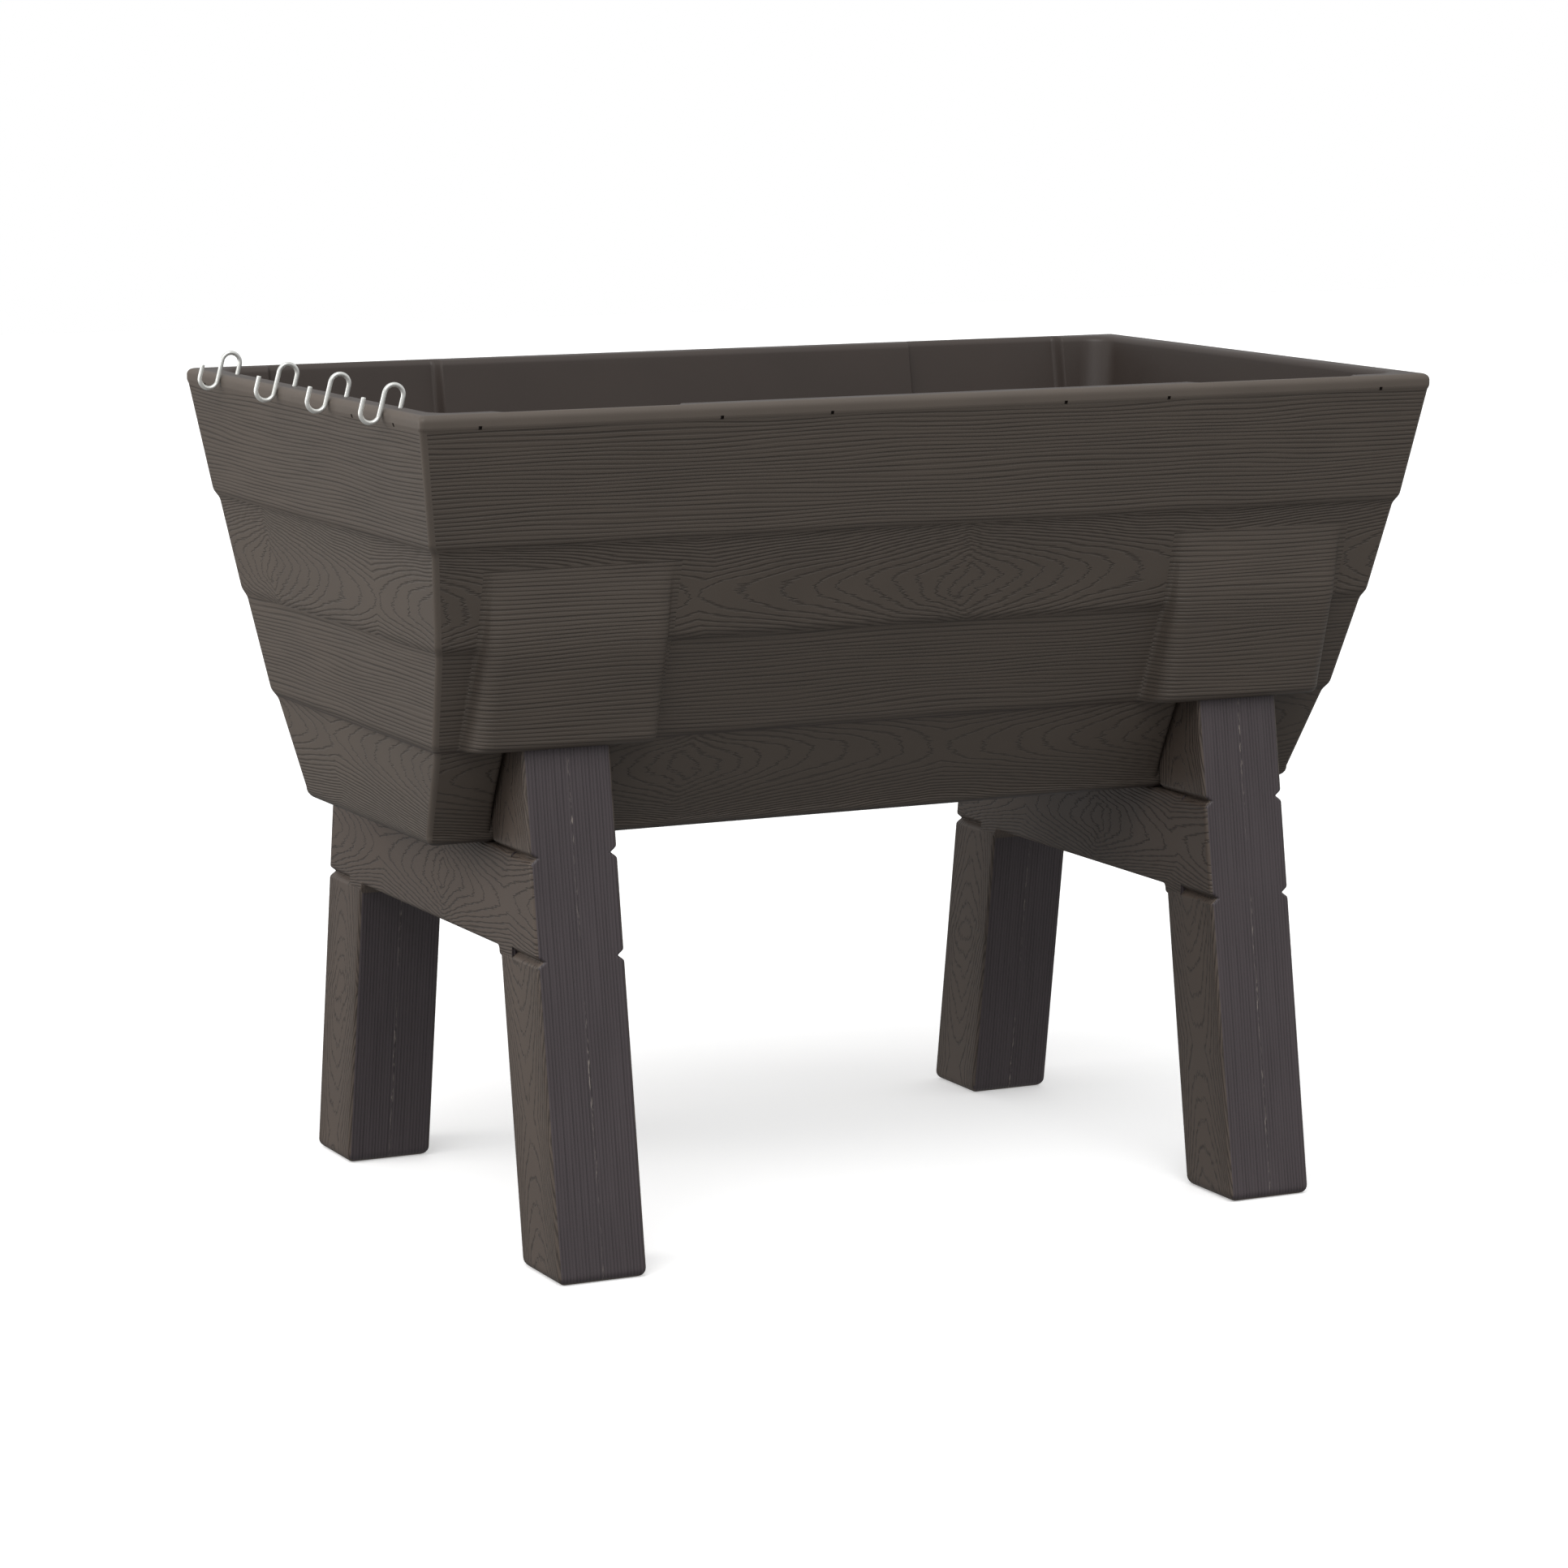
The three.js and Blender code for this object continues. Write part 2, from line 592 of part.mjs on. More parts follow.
// ---------------------------------------------------------------- hooks
// The wire's centre line in the XZ plane, an S that leans over; the top of its upper bend is the origin.
function hookLine() {
  const { arcRadius, stemLength, tipLength, lean } = HOOK;
  const along = new THREE.Vector3(Math.sin(lean), 0, Math.cos(lean));
  const across = new THREE.Vector3(Math.cos(lean), 0, -Math.sin(lean));
  const upperCentre = new THREE.Vector3(0, 0, -arcRadius);
  const stemTop = upperCentre.clone().addScaledVector(across, -arcRadius);
  const stemBottom = stemTop.clone().addScaledVector(along, -stemLength);
  const lowerCentre = stemBottom.clone().addScaledVector(across, -arcRadius);
  const points = [];
  const steps = ARC_STEPS;
  const upperEnd = upperCentre.clone().addScaledVector(across, arcRadius);
  points.push(upperEnd.clone().addScaledVector(along, -tipLength));
  for (let i = 0; i <= steps; i++) {
    const angle = i / steps * Math.PI;
    points.push(upperCentre.clone()
      .addScaledVector(across, arcRadius * Math.cos(angle))
      .addScaledVector(along, arcRadius * Math.sin(angle)));
  }
  for (let i = 0; i <= steps; i++) {
    const angle = i / steps * Math.PI;
    points.push(lowerCentre.clone()
      .addScaledVector(across, arcRadius * Math.cos(angle))
      .addScaledVector(along, -arcRadius * Math.sin(angle)));
  }
  const lowerEnd = lowerCentre.clone().addScaledVector(across, -arcRadius);
  points.push(lowerEnd.addScaledVector(along, tipLength));
  const line = new THREE.CurvePath();
  for (let i = 1; i < points.length; i++) {
    line.add(new THREE.LineCurve3(points[i - 1], points[i]));
  }
  return line;
}

function hookSolid() {
  const wire = new THREE.Shape();
  wire.absarc(0, 0, HOOK_WIRE / 2, 0, 2 * Math.PI, false);
  const options = { steps: 44, curveSegments: 4, bevelEnabled: false, extrudePath: hookLine() };
  return toSolid(new THREE.ExtrudeGeometry(wire, options));
}

// ---------------------------------------------------------------- the planter
const planter = new THREE.Group();
const materials = {
  tub: { color: 0x3f3a37, roughness: 0.72, metalness: 0 },
  legs: { color: 0x433c3f, roughness: 0.78, metalness: 0 },
  zinc: { color: 0xc9ced0, roughness: 0.28, metalness: 1 },
  rubber: { color: 0x1b1b1b, roughness: 0.85, metalness: 0 },
  plug: { color: 0x232221, roughness: 0.6, metalness: 0 },
};

function place(name, solid, material, x = 0, y = 0, z = 0) {
  const mesh = new THREE.Mesh(toGeometry(solid), new THREE.MeshStandardMaterial(materials[material]));
  mesh.name = name;
  mesh.position.set(x, y, z);
  planter.add(mesh);
}

place('planter_tub', tubSolid(), 'tub');
place('leg_frame_left', legFrameSolid(-1), 'legs');
place('leg_frame_right', legFrameSolid(1), 'legs');

screwPlaces.forEach(([x, y], i) => {
  place(`leg_screw_washer_${i + 1}`, washerSolid(), 'zinc', x, y, SHELF_Z + FIT_GAP);
  place(`leg_screw_${i + 1}`, screwSolid(), 'zinc', x, y, SHELF_Z + WASHER.thickness + 2 * FIT_GAP);
});

place('drain_seal', sealSolid(), 'rubber', 0, 0, TUB_BASE - FIT_GAP - SEAL.thickness);
place('drain_plug', drainPlugSolid(), 'plug', 0, 0, TUB_BASE - 2 * FIT_GAP - SEAL.thickness);

// Each hook stands with the tip of its upper bend in a shallow hole in the rim's top.
const tipEdge = HOOK_WIRE / 2 * Math.sin(HOOK.lean);
const hookTopZ = RIM_HEIGHT - HOOK_HOLE_DEPTH + HOOK_TIP_DROP + tipEdge + FIT_GAP;
HOOK_PLACES_Y.forEach((y, i) => {
  place(`s_hook_${i + 1}`, hookSolid(), 'zinc', HOOK_TOP_X, y, hookTopZ);
});

// The hooks reach past the left end, so the whole is moved to sit centred over its footprint.
const footprint = new THREE.Box3().setFromObject(planter);
planter.position.x = -(footprint.min.x + footprint.max.x) / 2;

export default planter;
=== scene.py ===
"""Looks of a raised garden planter: a lap-boarded tub on two trestle leg frames, with four S-hooks."""
import math

import bmesh
import bpy
import numpy as np
from bpy.props import FloatProperty, PointerProperty, StringProperty
from mathutils import Matrix, Vector


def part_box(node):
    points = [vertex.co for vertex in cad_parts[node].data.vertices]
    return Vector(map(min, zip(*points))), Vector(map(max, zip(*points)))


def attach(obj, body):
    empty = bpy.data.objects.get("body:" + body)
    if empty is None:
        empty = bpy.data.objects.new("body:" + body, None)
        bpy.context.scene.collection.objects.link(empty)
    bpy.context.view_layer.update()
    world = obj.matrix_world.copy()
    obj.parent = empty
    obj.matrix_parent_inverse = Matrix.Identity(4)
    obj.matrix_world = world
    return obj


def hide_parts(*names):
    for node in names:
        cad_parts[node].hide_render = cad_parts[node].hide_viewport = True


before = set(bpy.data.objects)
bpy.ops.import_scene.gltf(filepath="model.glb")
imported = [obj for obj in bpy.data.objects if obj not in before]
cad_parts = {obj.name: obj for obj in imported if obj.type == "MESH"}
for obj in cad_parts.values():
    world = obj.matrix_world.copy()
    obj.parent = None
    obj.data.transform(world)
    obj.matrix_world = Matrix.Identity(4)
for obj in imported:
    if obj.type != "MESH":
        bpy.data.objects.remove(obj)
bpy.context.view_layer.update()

bl_info = {
    "name": "Raised Garden Planter",
    "version": (1, 0, 0),
    "blender": (4, 5, 0),
    "location": "3D View > Sidebar > Planter",
    "description": "Builds a lap-boarded plastic planter on trestle legs, with its S-hooks",
    "category": "Add Mesh",
}

# ------------------------------------------------------------------ places taken from the frame
TUB_LOW, TUB_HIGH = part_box("planter_tub")
LEG_LOW, LEG_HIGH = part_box("leg_frame_left")
TUB_MIDDLE_X = (TUB_LOW.x + TUB_HIGH.x) / 2
LEG_MIDDLE_X = TUB_MIDDLE_X - (LEG_LOW.x + LEG_HIGH.x) / 2

# ------------------------------------------------------------------ sizes of the mouldings, metres
BAND_HEIGHT = 0.013
BAND_STEP = 0.001
RIM_ROUND = 0.006
BASE_ROUND = 0.012
FLOOR_THICKNESS = 0.025
FLOOR_ROUND = 0.014
DRAIN_RADIUS = 0.013
DRAIN_EDGE = 0.0012
# The ring of grid points about the drain, under the base and on the floor.
DRAIN_RING_RADIUS = 0.060

# Each lap board: how far below the rim its top and bottom edges are, and how far the end walls and
# the side walls have leaned in from the rim there.
BOARDS = (
    {"top": 0.014, "bottom": 0.122, "end": (0.0, 0.0165), "side": (0.0005, 0.0225)},
    {"top": 0.130, "bottom": 0.219, "end": (0.0215, 0.0335), "side": (0.0275, 0.0535)},
    {"top": 0.227, "bottom": 0.317, "end": (0.037, 0.047), "side": (0.060, 0.097)},
    {"top": 0.325, "bottom": 0.408, "end": (0.052, 0.062), "side": (0.104, 0.152)},
)
# A board's lower edge: how far past the board's bottom, and the share of the step inward made by then.
LAP_SHAPE = (
    (-0.004, 0.0), (-0.0024, 0.025), (-0.0010, 0.08), (0.0002, 0.17), (0.0014, 0.30), (0.0027, 0.46),
    (0.0040, 0.62), (0.0052, 0.76), (0.0064, 0.87), (0.0076, 0.945), (0.0090, 0.985), (0.0105, 1.0),
)

# The pockets over the legs: half their width, the round of their lower edge, how far in from the
# rim their faces are at three depths, and how much narrower each side is at the top.
POCKET_HALF_X = 0.0935
POCKET_ROUND = 0.010
POCKET_DEPTHS = (0.147, 0.218, 0.321)
POCKET_INSETS = (0.0335, 0.0370, 0.065)
POCKET_DRAFT = 0.004
POCKET_BEND = 0.016
# How far outside a pocket's side, and the share of the pocket's height that its face keeps there.
POCKET_EDGE = (
    (-0.0175, 1.0), (-0.0150, 0.994), (-0.0128, 0.978), (-0.0108, 0.954), (-0.0090, 0.925),
    (-0.0074, 0.891), (-0.0059, 0.850), (-0.0037, 0.770), (-0.0019, 0.679), (-0.0008, 0.598),
    (-0.0001, 0.525), (0.0006, 0.430), (0.0013, 0.330), (0.0020, 0.235), (0.0028, 0.150),
    (0.0038, 0.085), (0.0052, 0.035), (0.0070, 0.008), (0.0090, 0.0),
)
SLOT_EDGE = (
    (0.0, 1.0), (0.0001, 0.62), (0.0005, 0.42), (0.0012, 0.27), (0.0024, 0.14), (0.004, 0.055),
    (0.006, 0.01), (0.0085, 0.0),
)
# The bays inside the tub over each leg's shelf, and how far they step back above their ledge.
BAY_HALF_X = 0.0925
BAY_EDGE = (
    (-0.0058, 1.0), (-0.0044, 0.96), (-0.0032, 0.86), (-0.0020, 0.69), (-0.0008, 0.45), (0.0003, 0.22),
    (0.0012, 0.08), (0.0022, 0.0),
)
BAY_STEP = 0.0130
BAY_STEP_ENDS = (0.060, 0.130)
# The shelf in each bay, and the gap and the web of plastic round a leg's top in its socket.
SHELF_DEPTH = 0.151
SHELF_ROUND = 0.006
SOCKET_GAP = 0.0007
SOCKET_WEB = 0.007

GROOVE_DEPTH = 0.006
LEG_CORNER = 0.005
FOOT_ROUND = 0.009
LEG_TOP_ROUND = 0.003
CROSSBAR_FILLET = 0.009

# Small square marks the mould leaves along the bottom of the rim band: places along the front,
# the back and the two ends.
BAND_MARKS = {
    "front": (-0.477, -0.237, -0.124, 0.124, 0.237, 0.477),
    "back": (-0.477, -0.237, -0.124, 0.124, 0.237, 0.477),
    "left": (-0.250, -0.146, 0.258),
    "right": (-0.190, 0.020, 0.250),
}
BAND_MARK_SIZE = 0.0034
BAND_MARK_DEPTH = 0.0128
BAND_MARK_REACH = 0.0045

HOOK_NODES = ("s_hook_1", "s_hook_2", "s_hook_3", "s_hook_4")
HOOK_LEAN = math.radians(15)
HOOK_ARC_RADIUS = 0.0093
HOOK_STEM = 0.021
HOOK_TIP = 0.0123
HOOK_HOLE_RADIUS = 0.00325
HOOK_HOLE_DEPTH = 0.003

SCREW_SHANK_RADIUS = 0.00275
SCREW_HEAD_HEIGHT = 0.0036
SCREW_THREAD_PITCH = 0.0024
WASHER_HOLE_RADIUS = 0.0031
SEAL_HOLE_RADIUS = 0.0136
PLUG_RADIUS = 0.0126
PLUG_GAP = 0.0003

# The tub's finishes, in the order of its materials.
SMOOTH, PLAIN, FLAME, RIM_AND_CORNER_HIGHLIGHT = 0, 1, 2, 3

# Where the long walls' columns start to be spread toward the corner, and where the last one is.
STRETCH_START, SHORT_STRETCH_START = 0.461, 0.440
LAST_PLACE = 0.5185
COLUMN_KINDS = ("front", "right", "back", "left")


# ------------------------------------------------------------------ studio, metres and degrees
FLOOR_REACH = 12.0
SIDE_LIGHT_PLACE = (-1.6, 0.30, 0.85)
SIDE_LIGHT_AIM = (-0.4, 0.05, 0.40)
SIDE_LIGHT_SIZE = 0.9
SIDE_LIGHT_WATTS = 6.9
OVERHEAD_WAY = (0.35, 0.60, -1)
OVERHEAD_STRENGTH = 1.5
OVERHEAD_SPREAD = math.radians(50)
# The camera's azimuth, elevation and roll, its place, and its lens in millimetres.
CAMERA_TURNS = (-26.004, 9.245, -0.0865)
CAMERA_PLACE = (TUB_MIDDLE_X - 2.1696, -4.4045, 1.1977)
CAMERA_LENS = 113.28
CAMERA_SENSOR = 36.0


class PlanterSizes(bpy.types.PropertyGroup):
    """Sizes of the planter's mouldings."""

    rim_length: FloatProperty(
        name="Rim length", description="Length of the tub over its rim",
        default=TUB_HIGH.x - TUB_LOW.x, unit="LENGTH",
    )
    rim_width: FloatProperty(
        name="Rim width", description="Width of the tub over its rim",
        default=TUB_HIGH.y - TUB_LOW.y, unit="LENGTH",
    )
    wall: FloatProperty(
        name="Wall", description="Thickness of the tub's double wall", default=0.0265, unit="LENGTH",
    )
    outer_corner: FloatProperty(
        name="Outer corner", description="Radius of the tub's upright outer corners",
        default=0.005, unit="LENGTH",
    )
    inner_corner: FloatProperty(
        name="Inner corner", description="Radius of the upright corners inside the tub",
        default=0.026, unit="LENGTH",
    )
    leg_width: FloatProperty(
        name="Leg width", description="Width of a leg along the tub", default=0.090, unit="LENGTH",
    )
    leg_depth: FloatProperty(
        name="Leg depth", description="Depth of a leg across the tub", default=0.090, unit="LENGTH",
    )
    foot_spread: FloatProperty(
        name="Foot spread", description="Distance over the front and back legs on the floor",
        default=0.635, unit="LENGTH",
    )
    leg_lean: FloatProperty(
        name="Leg lean", description="How far a leg leans inward for each metre of height",
        default=0.1568, unit="NONE",
    )
    stand_height: FloatProperty(
        name="Stand height", description="Height of the crossbar's top above the floor",
        default=0.3945, unit="LENGTH",
    )
    crossbar_height: FloatProperty(
        name="Crossbar height", description="Height of the crossbar's side", default=0.0955,
        unit="LENGTH",
    )
    hook_wire: FloatProperty(
        name="Hook wire", description="Thickness of the hooks' wire", default=0.0044, unit="LENGTH",
    )
    line_spacing: FloatProperty(
        name="Grain line spacing", description="Distance between the plain boards' carved lines",
        default=0.0041, unit="LENGTH",
    )
    leg_line_spacing: FloatProperty(
        name="Leg line spacing", description="Distance between the straight lines on the legs",
        default=0.0034, unit="LENGTH",
    )
    knot_distance: FloatProperty(
        name="Knot distance", description="Distance between knots along a figured board",
        default=0.56, unit="LENGTH",
    )


class PlanterColours(bpy.types.PropertyGroup):
    """Colours of the planter's finishes, as sRGB hex values."""

    tub: StringProperty(name="Tub", description="Dark brown of the tub", default="534a42")
    # The inside brown is darker than the tub's brown: painted shade for the inside, the underside, the
    # drain and the leg sockets.
    tub_inside_painted_shade: StringProperty(
        name="Tub inside", description="Brown of the smooth inner walls", default="3d342f",
    )
    # The rim's lighter brown also covers the tub's upright corners, where it is a painted highlight.
    rim: StringProperty(name="Rim", description="Brown of the smooth rim", default="5a5149")
    leg: StringProperty(
        name="Leg fronts", description="Cooler dark brown of the legs' fronts and backs",
        default="484043",
    )
    leg_side: StringProperty(
        name="Leg sides", description="Warmer brown of the legs' sides and the crossbars",
        default="554a42",
    )
    scuff: StringProperty(
        name="Scuff", description="Pale scuffs on the legs' parting lines", default="9a9088",
    )
    zinc: StringProperty(name="Zinc", description="Bright zinc plating", default="f1f2ee")
    rubber: StringProperty(name="Rubber", description="Drain seal rubber", default="1c1c1c")
    plug: StringProperty(name="Plug", description="Drain plug plastic", default="262423")
    floor: StringProperty(name="Floor", description="Pale studio floor", default="f6f6f6")


# ------------------------------------------------------------------ helpers
def linear(hex_colour):
    """An sRGB hex colour as linear red, green, blue and alpha."""
    shares = [int(hex_colour[i:i + 2], 16) / 255 for i in (0, 2, 4)]
    return [s / 12.92 if s <= 0.04045 else ((s + 0.055) / 1.055) ** 2.4 for s in shares] + [1.0]


def add_node(tree, kind, inputs=None, **settings):
    """Adds a node, sets it up and links it. Gives back its first output, or the node if it has none."""
    made = tree.nodes.new(kind)
    for name, value in settings.items():
        setattr(made, name, value)
    for key, value in (inputs or {}).items():
        if isinstance(value, bpy.types.NodeSocket):
            tree.links.new(value, made.inputs[key])
        else:
            made.inputs[key].default_value = value
    return made.outputs[0] if len(made.outputs) else made


def new_material(name):
    """An empty node material and its tree."""
    material = bpy.data.materials.new(name)
    material.use_nodes = True
    material.node_tree.nodes.clear()
    return material, material.node_tree


def mesh_piece(name, vertices, faces, materials, uvs=None, material_indices=None, smooth_angle=40):
    """A mesh object in the scene, with shared corners joined and its faces turned outward."""
    mesh = bpy.data.meshes.new(name)
    mesh.from_pydata([tuple(v) for v in vertices], [], faces)
    if uvs is not None:
        layer = mesh.uv_layers.new(name="Grain")
        layer.data.foreach_set("uv", np.asarray(uvs, np.float32).ravel())
    if material_indices is not None:
        mesh.polygons.foreach_set("material_index", np.asarray(material_indices, np.int32))
    for material in materials:
        mesh.materials.append(material)
    shaped = bmesh.new()
    shaped.from_mesh(mesh)
    bmesh.ops.remove_doubles(shaped, verts=shaped.verts, dist=2e-6)
    bmesh.ops.recalc_face_normals(shaped, faces=shaped.faces)
    shaped.to_mesh(mesh)
    shaped.free()
    mesh.shade_smooth()
    piece = bpy.data.objects.new(name, mesh)
    bpy.context.scene.collection.objects.link(piece)
    mesh.set_sharp_from_angle(angle=math.radians(smooth_angle))
    return piece


def apply_modifiers(piece):
    """Turns the piece's modifiers into its own mesh."""
    bpy.context.view_layer.update()
    evaluated = piece.evaluated_get(bpy.context.evaluated_depsgraph_get())
    mesh = bpy.data.meshes.new_from_object(evaluated)
    piece.modifiers.clear()
    piece.data = mesh


def settle(piece, smooth_angle=40):
    """Evens the shading of a finished piece so that flat faces stay flat."""
    apply_modifiers(piece)
    piece.data.shade_smooth()
    piece.data.set_sharp_from_angle(angle=math.radians(smooth_angle))
    even = piece.modifiers.new("Even shading", "WEIGHTED_NORMAL")
    even.keep_sharp = True
    even.weight = 90
    return piece


def cut(piece, cutter, operation="DIFFERENCE"):
    """Cuts a closed piece from another, or joins them, and removes the one used."""
    change = piece.modifiers.new("Cut", "BOOLEAN")
    change.object = cutter
    change.operation = operation
    change.solver = "MANIFOLD"
    apply_modifiers(piece)
    used = cutter.data
    bpy.data.objects.remove(cutter)
    bpy.data.meshes.remove(used)
    return piece


def ring_faces(ring_count, ring_size, closed_rings=False):
    """Four-sided faces that join each ring of points to the next."""
    faces = []
    last = ring_count if closed_rings else ring_count - 1
    for r in range(last):
        low, high = r * ring_size, (r + 1) % ring_count * ring_size
        for c in range(ring_size):
            following = (c + 1) % ring_size
            faces.append((low + c, low + following, high + following, high + c))
    return faces


def quarter_turn(steps):
    """Angles from nothing to a quarter turn, in even steps."""
    return [step / steps * math.pi / 2 for step in range(steps + 1)]


def box_axis(low, high):
    """The upright line through a box's middle, as a point on the floor."""
    return (low.x + high.x) / 2, (low.y + high.y) / 2, 0.0


def capped_stack(rings):
    """Points and faces of a closed body through a stack of equal rings."""
    size = len(rings[0])
    points = [p for ring in rings for p in ring]
    faces = ring_faces(len(rings), size)
    faces.append(tuple(reversed(range(size))))
    faces.append(tuple(range((len(rings) - 1) * size, len(rings) * size)))
    return points, faces


def rounded_outline(half_x, half_y, radius, segments):
    """A rectangle with round corners about the origin, as x and y pairs, turning left."""
    outline = []
    for quarter, (side_x, side_y) in enumerate(((1, 1), (-1, 1), (-1, -1), (1, -1))):
        for step in range(segments + 1):
            angle = (quarter + step / segments) * math.pi / 2
            x = side_x * (half_x - radius) + radius * math.cos(angle)
            y = side_y * (half_y - radius) + radius * math.sin(angle)
            outline.append((x, y))
    return outline


def circle(radius, z, segments, centre):
    """A level circle of points about an upright line."""
    turns = [2 * math.pi * i / segments for i in range(segments)]
    return [
        (centre[0] + radius * math.cos(a), centre[1] + radius * math.sin(a), z) for a in turns
    ]


def lathe(profile, segments, centre=(0, 0, 0)):
    """Points and faces of a closed body turned about Z. The profile starts and ends on the axis."""
    rings = []
    for radius, height in profile:
        reach = max(radius, 1e-6)
        rings.append(circle(reach, centre[2] + height, segments, centre))
    return capped_stack(rings)


# ------------------------------------------------------------------ finishes
def grain_place(tree):
    """The place along and across the grain, in metres."""
    place = add_node(tree, "ShaderNodeUVMap", uv_map="Grain")
    along = add_node(tree, "ShaderNodeSeparateXYZ", {"Vector": place})
    return along, along.node.outputs["Y"]


def noise_at(tree, along, across, along_scale, across_scale, detail=2.0):
    """Smooth noise from 0 to 1 that is stretched along the grain. Scales are in metres."""
    point = add_node(tree, "ShaderNodeCombineXYZ", {
        "X": add_node(tree, "ShaderNodeMath", {0: along, 1: along_scale}, operation="DIVIDE"),
        "Y": add_node(tree, "ShaderNodeMath", {0: across, 1: across_scale}, operation="DIVIDE"),
    })
    return add_node(tree, "ShaderNodeTexNoise", {"Vector": point, "Scale": 1.0, "Detail": detail})


def shifted(tree, value, noise, reach):
    """A value moved by noise, by at most half the reach either way."""
    centred = add_node(tree, "ShaderNodeMath", {0: noise, 1: 0.5}, operation="SUBTRACT")
    return add_node(
        tree, "ShaderNodeMath", {0: centred, 1: reach, 2: value}, operation="MULTIPLY_ADD",
    )


def plain_lines(tree, along, across, spacing, waviness):
    """Carved lines that run nearly level, merge and part. Gives 1 on a line and 0 between."""
    slow = noise_at(tree, along, across, 0.30, 0.045, detail=1.0)
    quick = noise_at(tree, along, across, 0.045, 0.006, detail=2.0)
    moved = shifted(tree, shifted(tree, across, slow, 0.030 * waviness), quick, 0.0016 * waviness)
    turns = add_node(
        tree, "ShaderNodeMath", {0: moved, 1: 2 * math.pi / spacing}, operation="MULTIPLY",
    )
    wave = add_node(tree, "ShaderNodeMath", {0: turns}, operation="SINE")
    ridge = add_node(
        tree, "ShaderNodeMapRange",
        {"Value": wave, "From Min": -0.25, "From Max": 0.95, "To Min": 0.0, "To Max": 1.0},
        interpolation_type="SMOOTHSTEP",
    )
    # Some lines are cut deeper than others.
    depth = noise_at(tree, along, across, 0.12, 0.004, detail=1.0)
    depth = add_node(
        tree, "ShaderNodeMapRange", {"Value": depth, "From Min": 0.3, "From Max": 0.65, "To Min": 0.35},
    )
    return add_node(tree, "ShaderNodeMath", {0: ridge, 1: depth}, operation="MULTIPLY")


def figured_lines(tree, along, across, knot_distance, line_width):
    """Nested pointed ovals round knots, close together at a board's edges. Gives 1 on a line."""
    feather = noise_at(tree, along, across, 0.030, 0.0022, detail=2.0)
    sweep = noise_at(tree, along, across, 0.11, 0.030, detail=1.0)
    rise = noise_at(tree, along, across, 0.16, 0.06, detail=1.0)
    u = shifted(tree, shifted(tree, along, feather, 0.020), sweep, 0.060)
    v = shifted(tree, across, rise, 0.014)
    half = knot_distance / 2
    u = add_node(tree, "ShaderNodeMath", {0: u, 1: -half, 2: half}, operation="WRAP")
    u = add_node(tree, "ShaderNodeMath", {0: u}, operation="ABSOLUTE")
    u = add_node(tree, "ShaderNodeMath", {0: u, 1: 0.0025}, operation="MAXIMUM")
    v = add_node(tree, "ShaderNodeMath", {0: v}, operation="ABSOLUTE")
    # Rings are counted outward from the knot, along the board and across it.
    along_rings = add_node(tree, "ShaderNodeMath", {
        0: add_node(tree, "ShaderNodeMath", {0: u, 1: 0.016}, operation="DIVIDE"), 1: 0.72,
    }, operation="POWER")
    along_rings = add_node(tree, "ShaderNodeMath", {0: along_rings, 1: 1.3}, operation="MULTIPLY")
    across_rings = add_node(tree, "ShaderNodeMath", {
        0: add_node(tree, "ShaderNodeMath", {0: v, 1: 0.0180}, operation="DIVIDE"), 1: 2.1,
    }, operation="POWER")
    rings = add_node(tree, "ShaderNodeMath", {0: along_rings, 1: across_rings}, operation="ADD")
    # How quickly the rings pass keeps the carved line one width everywhere.
    along_rate = add_node(tree, "ShaderNodeMath", {0: along_rings, 1: u}, operation="DIVIDE")
    across_rate = add_node(tree, "ShaderNodeMath", {
        0: add_node(tree, "ShaderNodeMath", {0: across_rings, 1: 2.1}, operation="MULTIPLY"),
        1: add_node(tree, "ShaderNodeMath", {0: v, 1: 0.003}, operation="MAXIMUM"),
    }, operation="DIVIDE")
    rate = add_node(tree, "ShaderNodeMath", {0: along_rate, 1: across_rate}, operation="ADD")
    width = add_node(tree, "ShaderNodeMath", {0: rate, 1: line_width}, operation="MULTIPLY")
    width = add_node(tree, "ShaderNodeMath", {0: width, 1: 0.42}, operation="MINIMUM")
    share = add_node(tree, "ShaderNodeMath", {0: rings, 1: 0.5}, operation="PINGPONG")
    return add_node(
        tree, "ShaderNodeMapRange",
        {"Value": share, "From Min": 0.0, "From Max": width, "To Min": 1.0, "To Max": 0.0},
        interpolation_type="SMOOTHSTEP",
    )


